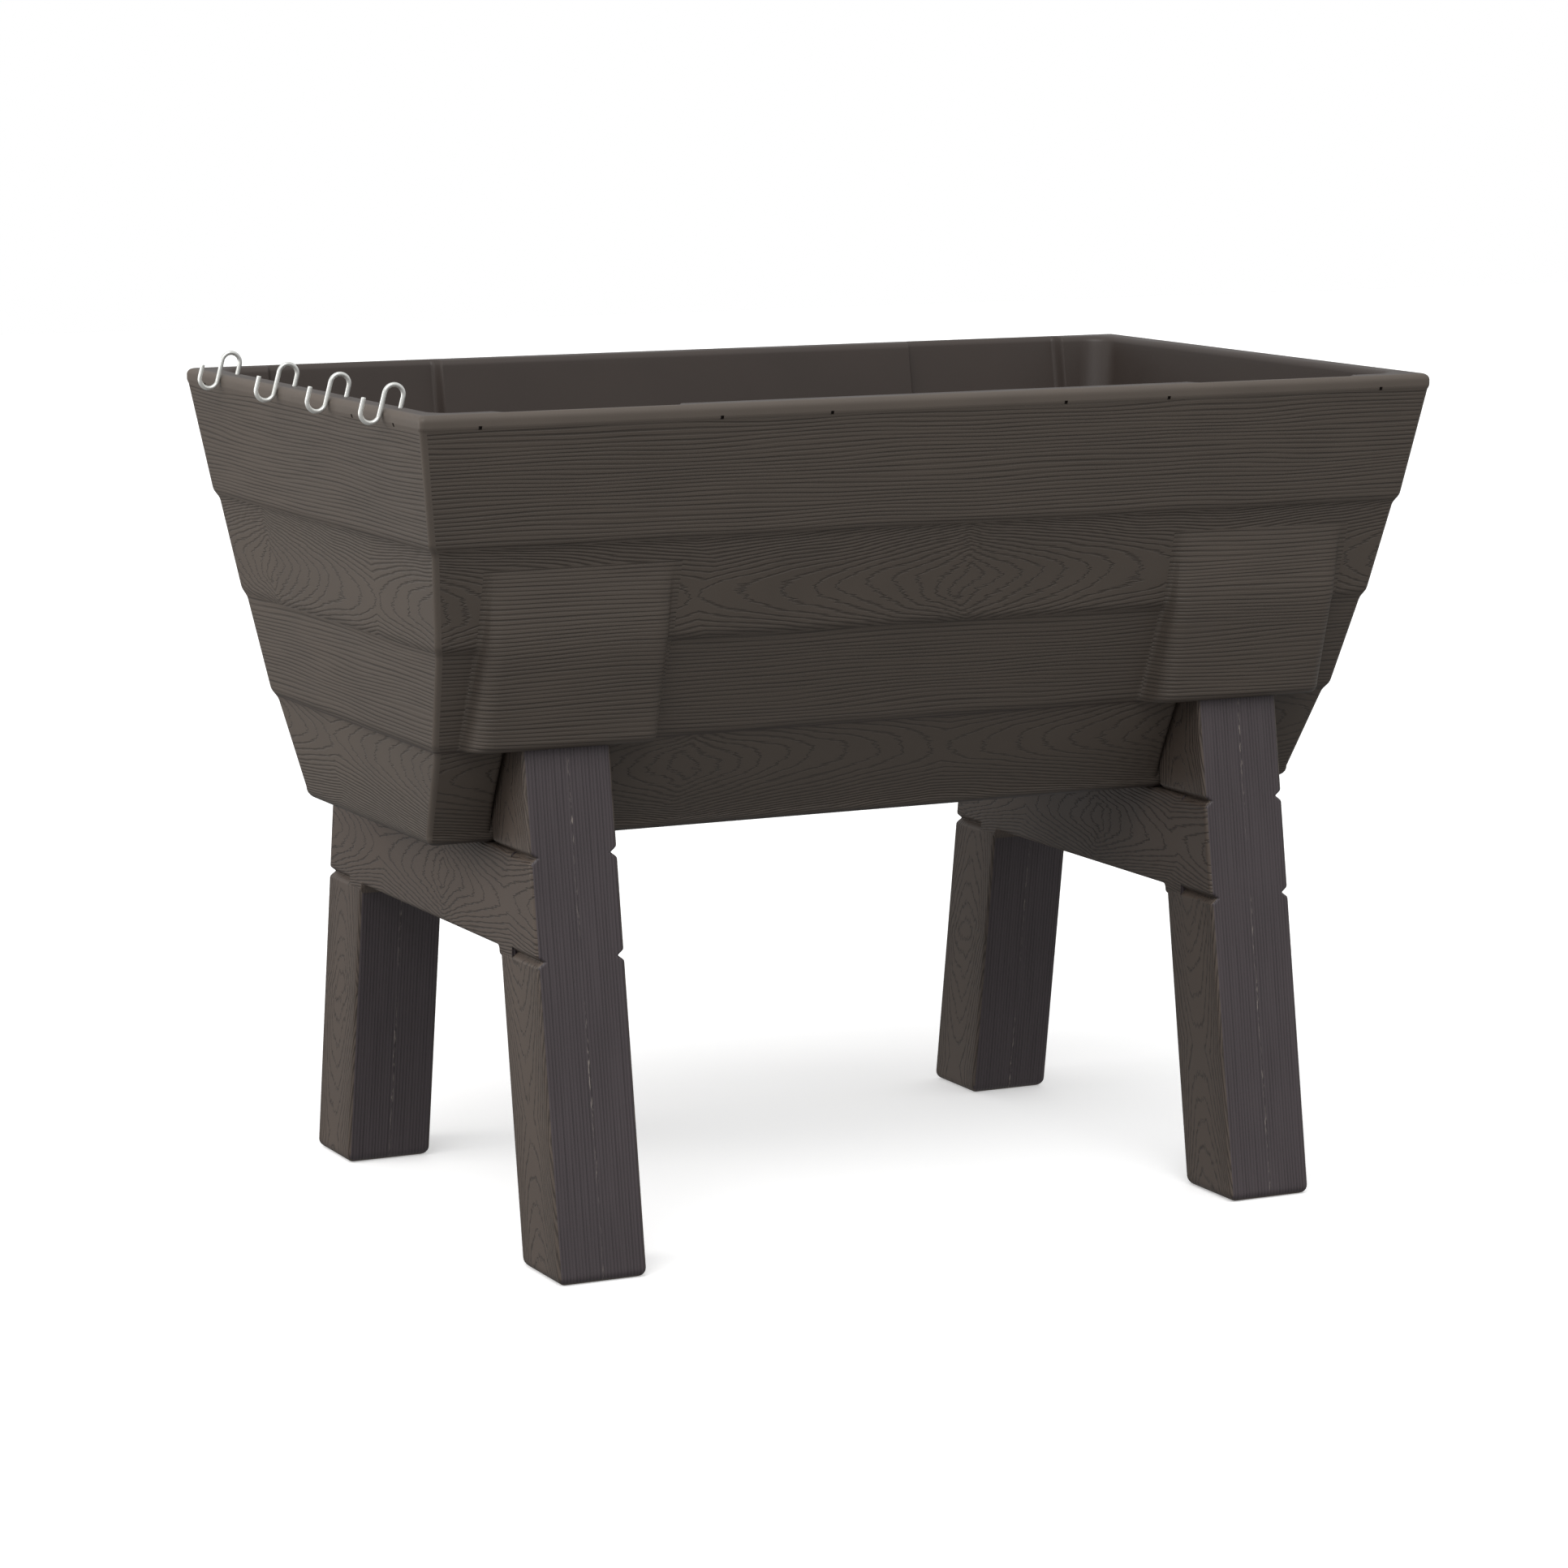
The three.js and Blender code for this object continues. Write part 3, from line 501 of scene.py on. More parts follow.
def moulded_plastic(name, colour, lines=None, depth=0.0, line_tone_and_shade=0.0, roughness=0.6, scuffs=None):
    """Rotation-moulded polyethylene: a waxy, slightly mottled surface, with carved grain if any
    and a parting line if its scuffs have a colour."""
    material, tree = new_material(name)
    along, across = grain_place(tree)
    position = add_node(tree, "ShaderNodeTexCoord").node.outputs["Object"]
    base = linear(colour)
    # Pigment that settled unevenly in the mould clouds the colour over a hand's width.
    cloud = add_node(
        tree, "ShaderNodeTexNoise", {"Vector": position, "Scale": 11.0, "Detail": 3.0},
    )
    pale = [min(c * 1.16 + 0.002, 1.0) for c in base[:3]] + [1.0]
    dark = [c * 0.86 for c in base[:3]] + [1.0]
    shade = add_node(tree, "ShaderNodeMix", {"Factor": cloud, "A": dark, "B": pale}, data_type="RGBA")
    shade = shade.node.outputs["Result"]
    # The powder's fine speckle, about a millimetre.
    speckle = add_node(
        tree, "ShaderNodeTexNoise", {"Vector": position, "Scale": 900.0, "Detail": 2.0},
    )
    height = add_node(tree, "ShaderNodeMath", {0: speckle, 1: 0.00006}, operation="MULTIPLY")
    if lines is not None:
        line = lines(tree, along, across)
        height = add_node(
            tree, "ShaderNodeMath", {0: line, 1: -depth, 2: height}, operation="MULTIPLY_ADD",
        )
        # The carved lines are darkened: partly the grain's own darker tone, partly painted shade in the
        # grooves.
        if line_tone_and_shade:
            keep = [c * (1 - line_tone_and_shade) for c in base[:3]] + [1.0]
            shade = add_node(
                tree, "ShaderNodeMix", {"Factor": line, "A": shade, "B": keep}, data_type="RGBA",
            ).node.outputs["Result"]
    if scuffs:
        shade, height = parting_line(tree, shade, height, along, across, scuffs)
    bump = add_node(tree, "ShaderNodeBump", {"Height": height, "Strength": 1.0, "Distance": 1.0})
    worn = add_node(
        tree, "ShaderNodeMapRange",
        {"Value": cloud, "From Min": 0.3, "From Max": 0.7, "To Min": roughness - 0.05,
         "To Max": roughness + 0.06},
    )
    shader = add_node(tree, "ShaderNodeBsdfPrincipled", {
        "Base Color": shade, "Roughness": worn, "IOR": 1.50, "Metallic": 0.0, "Normal": bump,
    })
    add_node(tree, "ShaderNodeOutputMaterial", {"Surface": shader})
    return material


def parting_line(tree, shade, height, along, across, scuffs):
    """The mould's parting line down the middle of a leg's face, scuffed pale in places."""
    wander = noise_at(tree, along, across, 0.20, 10.0, detail=1.0)
    middle = shifted(tree, across, wander, 0.0016)
    off = add_node(tree, "ShaderNodeMath", {0: middle}, operation="ABSOLUTE")
    on_line = add_node(
        tree, "ShaderNodeMapRange",
        {"Value": off, "From Min": 0.0005, "From Max": 0.0014, "To Min": 1.0, "To Max": 0.0},
    )
    height = add_node(
        tree, "ShaderNodeMath", {0: on_line, 1: 0.00035, 2: height}, operation="MULTIPLY_ADD",
    )
    scuff = noise_at(tree, along, across, 0.009, 0.0012, detail=4.0)
    scuff = add_node(
        tree, "ShaderNodeMapRange", {"Value": scuff, "From Min": 0.52, "From Max": 0.62},
    )
    patch = noise_at(tree, along, across, 0.12, 1.0, detail=2.0)
    patch = add_node(
        tree, "ShaderNodeMapRange", {"Value": patch, "From Min": 0.42, "From Max": 0.58},
    )
    amount = add_node(tree, "ShaderNodeMath", {0: scuff, 1: patch}, operation="MULTIPLY")
    amount = add_node(tree, "ShaderNodeMath", {0: amount, 1: on_line}, operation="MULTIPLY")
    amount = add_node(tree, "ShaderNodeMath", {0: amount, 1: 0.85}, operation="MULTIPLY")
    shade = add_node(
        tree, "ShaderNodeMix", {"Factor": amount, "A": shade, "B": linear(scuffs)},
        data_type="RGBA",
    ).node.outputs["Result"]
    return shade, height


def zinc_plate(name, colour, roughness):
    """Bright zinc plating on drawn steel wire: a clean silver with faint draw marks."""
    material, tree = new_material(name)
    position = add_node(tree, "ShaderNodeTexCoord").node.outputs["Object"]
    dull = add_node(tree, "ShaderNodeTexNoise", {"Vector": position, "Scale": 420.0, "Detail": 4.0})
    base = linear(colour)
    tarnish = [c * 0.86 for c in base[:3]] + [1.0]
    shade = add_node(
        tree, "ShaderNodeMix", {"Factor": dull, "A": tarnish, "B": base}, data_type="RGBA",
    ).node.outputs["Result"]
    bump = add_node(tree, "ShaderNodeBump", {
        "Height": add_node(tree, "ShaderNodeMath", {0: dull, 1: 0.00005}, operation="MULTIPLY"),
        "Distance": 1.0,
    })
    rough = add_node(
        tree, "ShaderNodeMapRange",
        {"Value": dull, "To Min": roughness - 0.06, "To Max": roughness + 0.10},
    )
    shader = add_node(tree, "ShaderNodeBsdfPrincipled", {
        "Base Color": shade, "Metallic": 0.7, "Roughness": rough, "Normal": bump,
    })
    add_node(tree, "ShaderNodeOutputMaterial", {"Surface": shader})
    return material


def soft_matt(name, colour, roughness, grit):
    """Moulded rubber or injection-moulded polypropylene: an even matt with a fine spark texture."""
    material, tree = new_material(name)
    position = add_node(tree, "ShaderNodeTexCoord").node.outputs["Object"]
    fine = add_node(
        tree, "ShaderNodeTexNoise", {"Vector": position, "Scale": 1 / grit, "Detail": 2.0},
    )
    base = linear(colour)
    pale = [c * 1.35 + 0.003 for c in base[:3]] + [1.0]
    shade = add_node(
        tree, "ShaderNodeMix", {"Factor": fine, "A": base, "B": pale}, data_type="RGBA",
    ).node.outputs["Result"]
    bump = add_node(tree, "ShaderNodeBump", {
        "Height": add_node(tree, "ShaderNodeMath", {0: fine, 1: 0.0001}, operation="MULTIPLY"),
        "Distance": 1.0,
    })
    shader = add_node(tree, "ShaderNodeBsdfPrincipled", {
        "Base Color": shade, "Roughness": roughness, "IOR": 1.5, "Normal": bump,
    })
    add_node(tree, "ShaderNodeOutputMaterial", {"Surface": shader})
    return material


# ------------------------------------------------------------------ tub
def board_line(board, key, depth):
    """The wall's lean at a depth, along one board's own straight line."""
    top, bottom = board["top"], board["bottom"]
    low, high = board[key]
    return low + (high - low) * (depth - top) / (bottom - top)


def wall_inset(key, depth):
    """How far in from the rim the outer wall is at a depth below the rim."""
    if depth < BAND_HEIGHT:
        return 0.0
    upper = BOARDS[0]
    inset = board_line(upper, key, max(depth, upper["top"]))
    for lower in BOARDS[1:]:
        start = upper["bottom"]
        past, made = zip(*LAP_SHAPE)
        share = float(np.interp(depth - start, past, made))
        if share <= 0:
            break
        inset = inset + (board_line(lower, key, depth) - inset) * share
        upper = lower
    return BAND_STEP + inset


def inner_inset(key, depth):
    """How far in from the rim the plain line of the inner wall has leaned at a depth."""
    depths = [0.0] + [b["bottom"] for b in BOARDS]
    leans = [0.0] + [b[key][1] for b in BOARDS]
    return float(np.interp(depth, depths, leans))


def pocket_inset(depth):
    """How far in from the rim a pocket's face is, its bend eased."""
    reach = min(POCKET_BEND, POCKET_DEPTHS[-1] - depth, depth - POCKET_DEPTHS[0])
    near = np.interp(depth + np.linspace(-reach, reach, 9), POCKET_DEPTHS, POCKET_INSETS)
    return float(np.mean(near))


def wall_stations(half_leg):
    """Places along a long wall where the grid has columns, closer together at every edge."""
    middles = np.arange(-0.258, 0.259, 0.012)
    places = set(np.round(middles, 6))
    for side in (-1, 1):
        for edge, half in ((POCKET_EDGE, POCKET_HALF_X), (BAY_EDGE, BAY_HALF_X)):
            for past, _ in edge:
                for way in (-1, 1):
                    places.add(round(side * LEG_MIDDLE_X + way * (half + past), 6))
        for past, _ in SLOT_EDGE:
            for way in (-1, 1):
                reach = half_leg + SOCKET_GAP + past
                places.add(round(side * LEG_MIDDLE_X + way * reach, 6))
        for inside in (-0.030, -0.015, 0.0, 0.015, 0.030, -0.068, 0.068):
            places.add(round(side * LEG_MIDDLE_X + inside, 6))
        places.update(round(side * x, 6) for x in (0.470, 0.480, 0.490, 0.500, 0.510, 0.518))
    ordered = sorted(places)
    kept = [ordered[0]]
    for place in ordered[1:]:
        if place - kept[-1] > 0.00009:
            kept.append(place)
    return np.array(kept)


def edge_share(edge, places, half):
    """The share read off an edge table at each place along the wall."""
    outside = np.abs(np.abs(places) - LEG_MIDDLE_X) - half
    past, share = zip(*edge)
    return np.interp(outside, past, share)


class TubGrid:
    """The tub's whole skin as one grid: columns round the tub, rows from the rim's top down the
    outside, under the base, up through the drain hole, over the floor and up the inside."""

    corner_steps = 8
    end_places = np.linspace(-1, 1, 33)

    def __init__(self, sizes):
        self.half_x = sizes.rim_length / 2
        self.half_y = sizes.rim_width / 2
        self.top = TUB_HIGH.z
        self.base = TUB_LOW.z
        self.sizes = sizes
        self.places = wall_stations(sizes.leg_width / 2)
        self.pocket = edge_share(POCKET_EDGE, self.places, POCKET_HALF_X)
        self.bay = edge_share(BAY_EDGE, self.places, BAY_HALF_X)
        self.slot = edge_share(SLOT_EDGE, self.places, sizes.leg_width / 2 + SOCKET_GAP)
        self.socket = np.where(self.slot > 0.999, 1.0, 0.0)
        self.columns = self.column_list()
        self.rings = []
        self.tags = []

    def column_list(self):
        """Each column as its kind, its place and its corner's angle."""
        columns = [("front", i) for i in range(len(self.places))]
        columns += self.corner(1, -1)
        columns += [("right", q) for q in self.end_places]
        columns += self.corner(1, 1)
        columns += [("back", i) for i in reversed(range(len(self.places)))]
        columns += self.corner(-1, 1)
        columns += [("left", -q) for q in self.end_places]
        columns += self.corner(-1, -1)
        return columns

    def corner(self, side_x, side_y):
        starts = {(1, -1): -90, (1, 1): 0, (-1, 1): 90, (-1, -1): 180}
        start = starts[side_x, side_y]
        steps = range(1, self.corner_steps)
        return [("corner", (side_x, side_y, start + 90 * s / self.corner_steps)) for s in steps]

    def leg_face(self, z):
        return self.sizes.foot_spread / 2 - self.sizes.leg_lean * z

    def add_row(self, tag, side, end, z, radius, pocket=None, slot=None, inner=False, sharp=False):
        """Adds a row. side and end are insets from the rim, and pocket and slot are other (inset,
        z) pairs that the row takes in the columns of a pocket, a bay or a leg's slot."""
        share = self.bay if inner else self.pocket
        slot_share = self.socket if sharp else self.slot
        row_y = np.full(len(self.places), side)
        row_z = np.full(len(self.places), z)
        if pocket:
            row_y = row_y + (pocket[0] - row_y) * share
            row_z = row_z + (pocket[1] - row_z) * share
        if slot:
            row_y = row_y + (slot[0] - row_y) * slot_share
            row_z = row_z + (slot[1] - row_z) * slot_share
        reach = self.half_x - end - radius
        # Columns past a pocket's outer side are spread out to the corner, or drawn in to it.
        start = STRETCH_START if reach > STRETCH_START + 0.006 else SHORT_STRETCH_START
        beyond = np.abs(self.places) > start
        spread = (reach - 0.0005 - start) / (LAST_PLACE - start)
        stretched = start + (np.abs(self.places) - start) * spread
        row_x = np.where(beyond, np.sign(self.places) * stretched, self.places)
        ring = []
        for kind, where in self.columns:
            if kind == "front":
                ring.append((row_x[where], -(self.half_y - row_y[where]), row_z[where]))
            elif kind == "back":
                ring.append((row_x[where], self.half_y - row_y[where], row_z[where]))
            elif kind == "corner":
                side_x, side_y, angle = where
                turn = math.radians(angle)
                ring.append((
                    side_x * reach + radius * math.cos(turn),
                    side_y * (self.half_y - side - radius) + radius * math.sin(turn), z,
                ))
            else:
                side_x = 1 if kind == "right" else -1
                ring.append((side_x * (self.half_x - end), where * (self.half_y - side - radius), z))
        self.rings.append(np.array(ring))
        self.tags.append(tag)

    def add_circle(self, tag, radius, z):
        """Adds a round row about the drain, in line with the columns of the outline under it."""
        outline = self.rings[-1] if tag == "under" else self.floor_outline
        turns = np.arctan2(outline[:, 1], outline[:, 0])
        ring = np.stack([radius * np.cos(turns), radius * np.sin(turns), np.full(len(turns), z)], 1)
        self.rings.append(ring)
        self.tags.append(tag)

    def build_outside(self):
        corner = self.sizes.outer_corner
        for turn in quarter_turn(6):
            inset = RIM_ROUND * (1 - math.sin(turn))
            self.add_row("rim", inset, inset, self.top - RIM_ROUND * (1 - math.cos(turn)), corner)
        # The band's foot slopes in to the first board.
        band = ((0.0075, 0), (0.0110, 0.0), (0.0120, 0.0002), (0.0130, 0.0005), (0.0140, 0.0008))
        for depth, inset in band:
            self.add_row("band", inset, inset, self.top - depth, corner)
        for depth in self.outside_depths():
            side, end = wall_inset("side", depth), wall_inset("end", depth)
            z = self.top - depth
            if depth <= POCKET_DEPTHS[0] + 0.0005:
                self.add_row("board", side, end, z, corner)
            else:
                # The pocket narrows to its top edge, where its face meets the board's.
                rise = (POCKET_DEPTHS[-1] - depth) / (POCKET_DEPTHS[-1] - POCKET_DEPTHS[0])
                half = POCKET_HALF_X - POCKET_DRAFT * rise
                self.pocket = edge_share(POCKET_EDGE, self.places, half)
                face = min(pocket_inset(depth), side)
                self.add_row("board", side, end, z, corner, pocket=(face, z), slot=(face, z))
        self.pocket = edge_share(POCKET_EDGE, self.places, POCKET_HALF_X)
        self.build_pocket_bottom(corner)
        for depth in (0.3225, 0.324, 0.3265, 0.335, 0.350, 0.365, 0.380, 0.392):
            self.add_low_row("board", depth, 0.0, self.top - depth, corner)
        base_depth = BOARDS[3]["bottom"]
        for step, turn in enumerate(quarter_turn(6)):
            inset = BASE_ROUND * (1 - math.cos(turn))
            z = self.base + BASE_ROUND * (1 - math.sin(turn))
            tag = "board" if step < 3 else "under"
            self.add_low_row(tag, base_depth, inset, z, max(corner - inset, 0.003))

    def outside_depths(self):
        """Depths of the rows from the rim band down to the third board's lower edge."""
        depths = [0.0150, 0.030, 0.055, 0.085, 0.108]
        for board in BOARDS[:2]:
            depths += [board["bottom"] + past for past, _ in LAP_SHAPE]
        depths += [0.1415, 0.1465, 0.1485, 0.1505, 0.1525, 0.1545, 0.1565, 0.1585, 0.1605, 0.1630]
        depths += [0.1655, 0.168, 0.172, 0.182, 0.196, 0.204]
        depths += [0.2075, 0.2105, 0.230, 0.234, 0.244, 0.260, 0.278, 0.294, 0.304, 0.308]
        return sorted(depths)

    def build_pocket_bottom(self, corner):
        """Rows that go round the pocket's lower edge, into the leg's socket and back out of it,
        while the plain wall passes its third lap."""
        bottom = self.top - POCKET_DEPTHS[-1]
        low_face = pocket_inset(POCKET_DEPTHS[-1] - 0.0045)
        start_face = pocket_inset(POCKET_DEPTHS[-1] - POCKET_ROUND)
        socket_turn = math.radians(77)
        past = [0.311 + i * 0.0012 for i in range(9)]
        for i, depth in enumerate(past):
            share = i / (len(past) - 1)
            turn = share * math.pi / 2
            lean = (low_face - start_face) * share
            face = start_face + POCKET_ROUND * (1 - math.cos(turn)) + lean
            z = bottom + POCKET_ROUND * (1 - math.sin(turn))
            part = min(turn, socket_turn)
            slot_z = bottom + POCKET_ROUND * (1 - math.sin(part))
            slot_face = start_face + POCKET_ROUND * (1 - math.cos(part)) + lean
            side, end = wall_inset("side", depth), wall_inset("end", depth)
            self.add_row(
                "board", side, end, self.top - depth, corner,
                pocket=(face, z), slot=(min(slot_face, face), slot_z), sharp=True,
            )
        # Up the socket's front, over its top and down its back, in the slot's columns only.
        leg_top = self.top - SHELF_DEPTH - SOCKET_WEB
        depth_range = np.linspace(0.3209, 0.3222, 9)
        wall_face = wall_inset("side", 0.322)
        front_in = low_face + POCKET_ROUND
        socket_path = []
        for z in (bottom + 0.0005, bottom + 0.06, leg_top):
            socket_path.append((self.half_y - self.leg_face(z) - SOCKET_GAP, z))
        for z in (leg_top, bottom + 0.10, bottom + 0.06, bottom + 0.03, bottom + 0.001):
            back = self.leg_face(z) - self.sizes.leg_depth - SOCKET_GAP
            socket_path.append((self.half_y - back, z))
        for i, (inset, z) in enumerate(socket_path):
            share = (i + 1) / len(socket_path)
            depth = float(depth_range[i])
            face = front_in + (wall_face - front_in) * share
            self.add_row(
                "socket", wall_inset("side", depth), wall_inset("end", depth), self.top - depth,
                corner, pocket=(face, bottom), slot=(inset, z), sharp=True,
            )

    def add_low_row(self, tag, depth, inset, z, radius):
        """A row of the fourth board, cut back in the slots to the leg's inner face."""
        side, end = wall_inset("side", depth) + inset, wall_inset("end", depth) + inset
        back = self.half_y - (self.leg_face(z) - self.sizes.leg_depth - SOCKET_GAP)
        self.add_row(tag, side, end, z, radius, slot=(max(side, back), z))

    def build_drain(self):
        floor = self.base + FLOOR_THICKNESS
        self.floor_outline = self.rings[-1]
        self.add_circle("under", DRAIN_RING_RADIUS, self.base)
        # Both edges of the drain are eased.
        easing = ((DRAIN_EDGE, 0.0), (DRAIN_EDGE / 4, DRAIN_EDGE / 4), (0.0, DRAIN_EDGE))
        for out, along in easing:
            self.add_circle("drain", DRAIN_RADIUS + out, self.base + along)
        for out, along in reversed(easing):
            self.add_circle("drain", DRAIN_RADIUS + out, floor - along)
        self.add_circle("drain", DRAIN_RING_RADIUS, floor)

    def add_inside_row(self, z, round_in, boss, radius):
        depth = self.top - z
        side = self.sizes.wall + inner_inset("side", depth) + round_in
        end = self.sizes.wall + inner_inset("end", depth) + round_in
        self.add_row("inside", side, end, z, radius, pocket=boss, inner=True)

    def boss_inset(self, z):
        """How far in from the rim the boss over a leg's socket reaches, or the wall where that is
        farther in."""
        face = self.leg_face(z) - self.sizes.leg_depth - SOCKET_GAP - SOCKET_WEB
        wall = self.sizes.wall + inner_inset("side", self.top - z)
        return max(self.half_y - face, wall)

    def bay_inset(self, z):
        """How far in from the rim the bay's wall is, above the shelf."""
        depth = self.top - z
        wall = self.sizes.wall + inner_inset("side", depth)
        start, end = BAY_STEP_ENDS
        past = min(max((depth - start) / (end - start), 0.0), 1.0)
        return wall - BAY_STEP * (1 - past * past * (3 - 2 * past))

    def build_inside(self):
        corner = self.sizes.inner_corner
        floor = self.base + FLOOR_THICKNESS
        shelf = self.top - SHELF_DEPTH
        for turn in quarter_turn(6):
            z = floor + FLOOR_ROUND * (1 - math.cos(turn))
            round_in = FLOOR_ROUND * (1 - math.sin(turn))
            boss = (self.boss_inset(z) + round_in, z)
            self.add_inside_row(z, round_in, boss, corner - round_in * 0.4)
        for z in (0.450, 0.480, 0.510, 0.540, 0.570, 0.600, 0.625, 0.640):
            self.add_inside_row(z, 0.0, (self.boss_inset(z), z), corner)
        spread = iter(np.linspace(0.648, 0.684, 15))
        boss_top = shelf - SHELF_ROUND
        boss_face = self.boss_inset(boss_top)
        for turn in quarter_turn(6):
            inset = boss_face - SHELF_ROUND * (1 - math.cos(turn))
            z = boss_top + SHELF_ROUND * math.sin(turn)
            self.add_inside_row(next(spread), 0.0, (inset, z), corner)
        bay_foot = self.bay_inset(shelf)
        middle = (boss_face + bay_foot) / 2
        self.add_inside_row(next(spread), 0.0, (middle, shelf), corner)
        for turn in quarter_turn(6):
            z = shelf + SHELF_ROUND * (1 - math.cos(turn))
            inset = self.bay_inset(z) + SHELF_ROUND * (1 - math.sin(turn))
            self.add_inside_row(next(spread), 0.0, (inset, z), corner)
        for z in (0.694, 0.706, 0.718, 0.730, 0.740, 0.748, 0.756, 0.766, 0.776, 0.786, 0.796, 0.804):
            self.add_inside_row(z, 0.0, (self.bay_inset(z), z), corner)
        for turn in quarter_turn(6):
            z = self.top - RIM_ROUND * (1 - math.sin(turn))
            flare = -RIM_ROUND * (1 - math.cos(turn))
            self.add_inside_row(z, flare, (self.bay_inset(z) + flare, z), corner + flare * 0.5)

    def faces(self):
        """Faces, their grain places and their finish."""
        grid = np.array(self.rings)
        rows, columns = grid.shape[:2]
        faces = ring_faces(rows, columns, closed_rings=True)
        places, finishes = [], []
        flat = grid.reshape(-1, 3)
        kinds = self.grain_kinds()
        for number, face in enumerate(faces):
            row, column = divmod(number, columns)
            tag = self.tags[row]
            kind, in_pocket = kinds[column]
            points = flat[list(face)]
            depth = self.top - float(points[:, 2].mean())
            finish, offset, middle = self.finish_at(tag, kind, in_pocket, depth, column)
            finishes.append(finish)
            for point in points:
                places.append(self.grain_place(tag, kind, point, offset, middle))
        return flat, faces, places, finishes

    def grain_kinds(self):
        """Which wall a column's faces belong to, and whether they are on a pocket."""
        kinds = []
        count = len(self.columns)
        for i, (kind, where) in enumerate(self.columns):
            following = self.columns[(i + 1) % count][0]
            if kind == "corner":
                side_x, side_y, angle = where
                steep = abs(math.sin(math.radians(angle + 90 / self.corner_steps / 2)))
                along = "front" if side_y < 0 else "back"
                across = "right" if side_x > 0 else "left"
                kinds.append((along if steep > 0.707 else across, False))
                continue
            in_pocket = kind in ("front", "back") and self.pocket[where] > 0.02 and following == kind
            kinds.append((kind, in_pocket))
        return kinds

    def finish_at(self, tag, kind, in_pocket, depth, column):
        """The finish, and the grain's own start and middle line, for a face."""
        # Every part but the boards, the rim and the band takes the darker inside brown, which is
        # painted shade.
        if tag != "board":
            return (RIM_AND_CORNER_HIGHLIGHT if tag in ("rim", "band") else SMOOTH), 0.0, 0.0
        column_kind, where = self.columns[column]
        # The upright corners take the rim's lighter brown: a painted highlight along their rounded
        # edges.
        if column_kind == "corner":
            return RIM_AND_CORNER_HIGHLIGHT, 0.0, 0.0
        side = COLUMN_KINDS.index(kind)
        if in_pocket and POCKET_DEPTHS[0] < depth < POCKET_DEPTHS[-1] + 0.001:
            near = 0 if column_kind in ("front", "back") and self.places[where] < 0 else 1
            return PLAIN, 7.3 + 1.7 * side + 0.9 * near, self.top - 0.23
        for number, board in enumerate(BOARDS):
            if depth < board["bottom"] + 0.0045 or number == len(BOARDS) - 1:
                middle = self.top - (board["top"] + board["bottom"]) / 2
                if number in (0, 2):
                    return PLAIN, 2.3 * side + 0.7 * number, middle
                shift, lift = KNOT_PLACES[number, kind]
                return FLAME, shift, middle + lift
        return PLAIN, 0.0, 0.0

    def grain_place(self, tag, kind, point, offset, middle):
        """Where a point lies along and across the grain, in metres."""
        x, y, z = point
        if tag in ("under", "drain", "inside", "rim", "socket"):
            return (x, y + z)
        along = {"front": x, "right": y, "back": -x, "left": -y}[kind]
        return (along + offset, z - middle)


# Where the figure's knots lie on the second and fourth boards: how far the grain is moved along the
# board, and how far the knot's line is off the board's middle.
KNOT_PLACES = {
    (1, "front"): (-0.041, -0.0085),
    (1, "left"): (0.155, -0.010),
    (1, "back"): (0.12 + 0.56 * 9, 0.004),
    (1, "right"): (0.20 + 0.56 * 14, -0.006),
    (3, "front"): (0.22 + 0.56 * 21, 0.012),
    (3, "left"): (0.34 + 0.56 * 26, 0.022),
    (3, "back"): (0.05 + 0.56 * 31, -0.008),
    (3, "right"): (0.10 + 0.56 * 37, 0.010),
}


def box_cutter(name, centre, half, turn=0.0):
    """A small block with slightly round upright edges, for cutting."""
    outline = rounded_outline(half[0], half[1], min(half[0], half[1]) * 0.35, 3)
    rings = []
    for level in (-half[2], half[2]):
        rings.append([
            (centre[0] + x * math.cos(turn) - y * math.sin(turn),
             centre[1] + x * math.sin(turn) + y * math.cos(turn), centre[2] + level)
            for x, y in outline
        ])
    points, faces = capped_stack(rings)
    return mesh_piece(name, points, faces, [])


def band_marks(sizes):
    """The small blocks that cut the mould's marks into the rim band."""
    half_x, half_y = sizes.rim_length / 2, sizes.rim_width / 2
    half = BAND_MARK_SIZE / 2
    level = TUB_HIGH.z - BAND_MARK_DEPTH
    cutters = []
    for wall, places in BAND_MARKS.items():
        for place in places:
            spot = {
                "front": (place, -half_y), "back": (place, half_y),
                "left": (-half_x, place), "right": (half_x, place),
            }[wall]
            on_long_wall = wall in ("front", "back")
            size = (half, BAND_MARK_REACH, half) if on_long_wall else (BAND_MARK_REACH, half, half)
            centre = (TUB_MIDDLE_X + spot[0], spot[1], level)
            cutters.append(box_cutter("band_mark", centre, size))
    return cutters


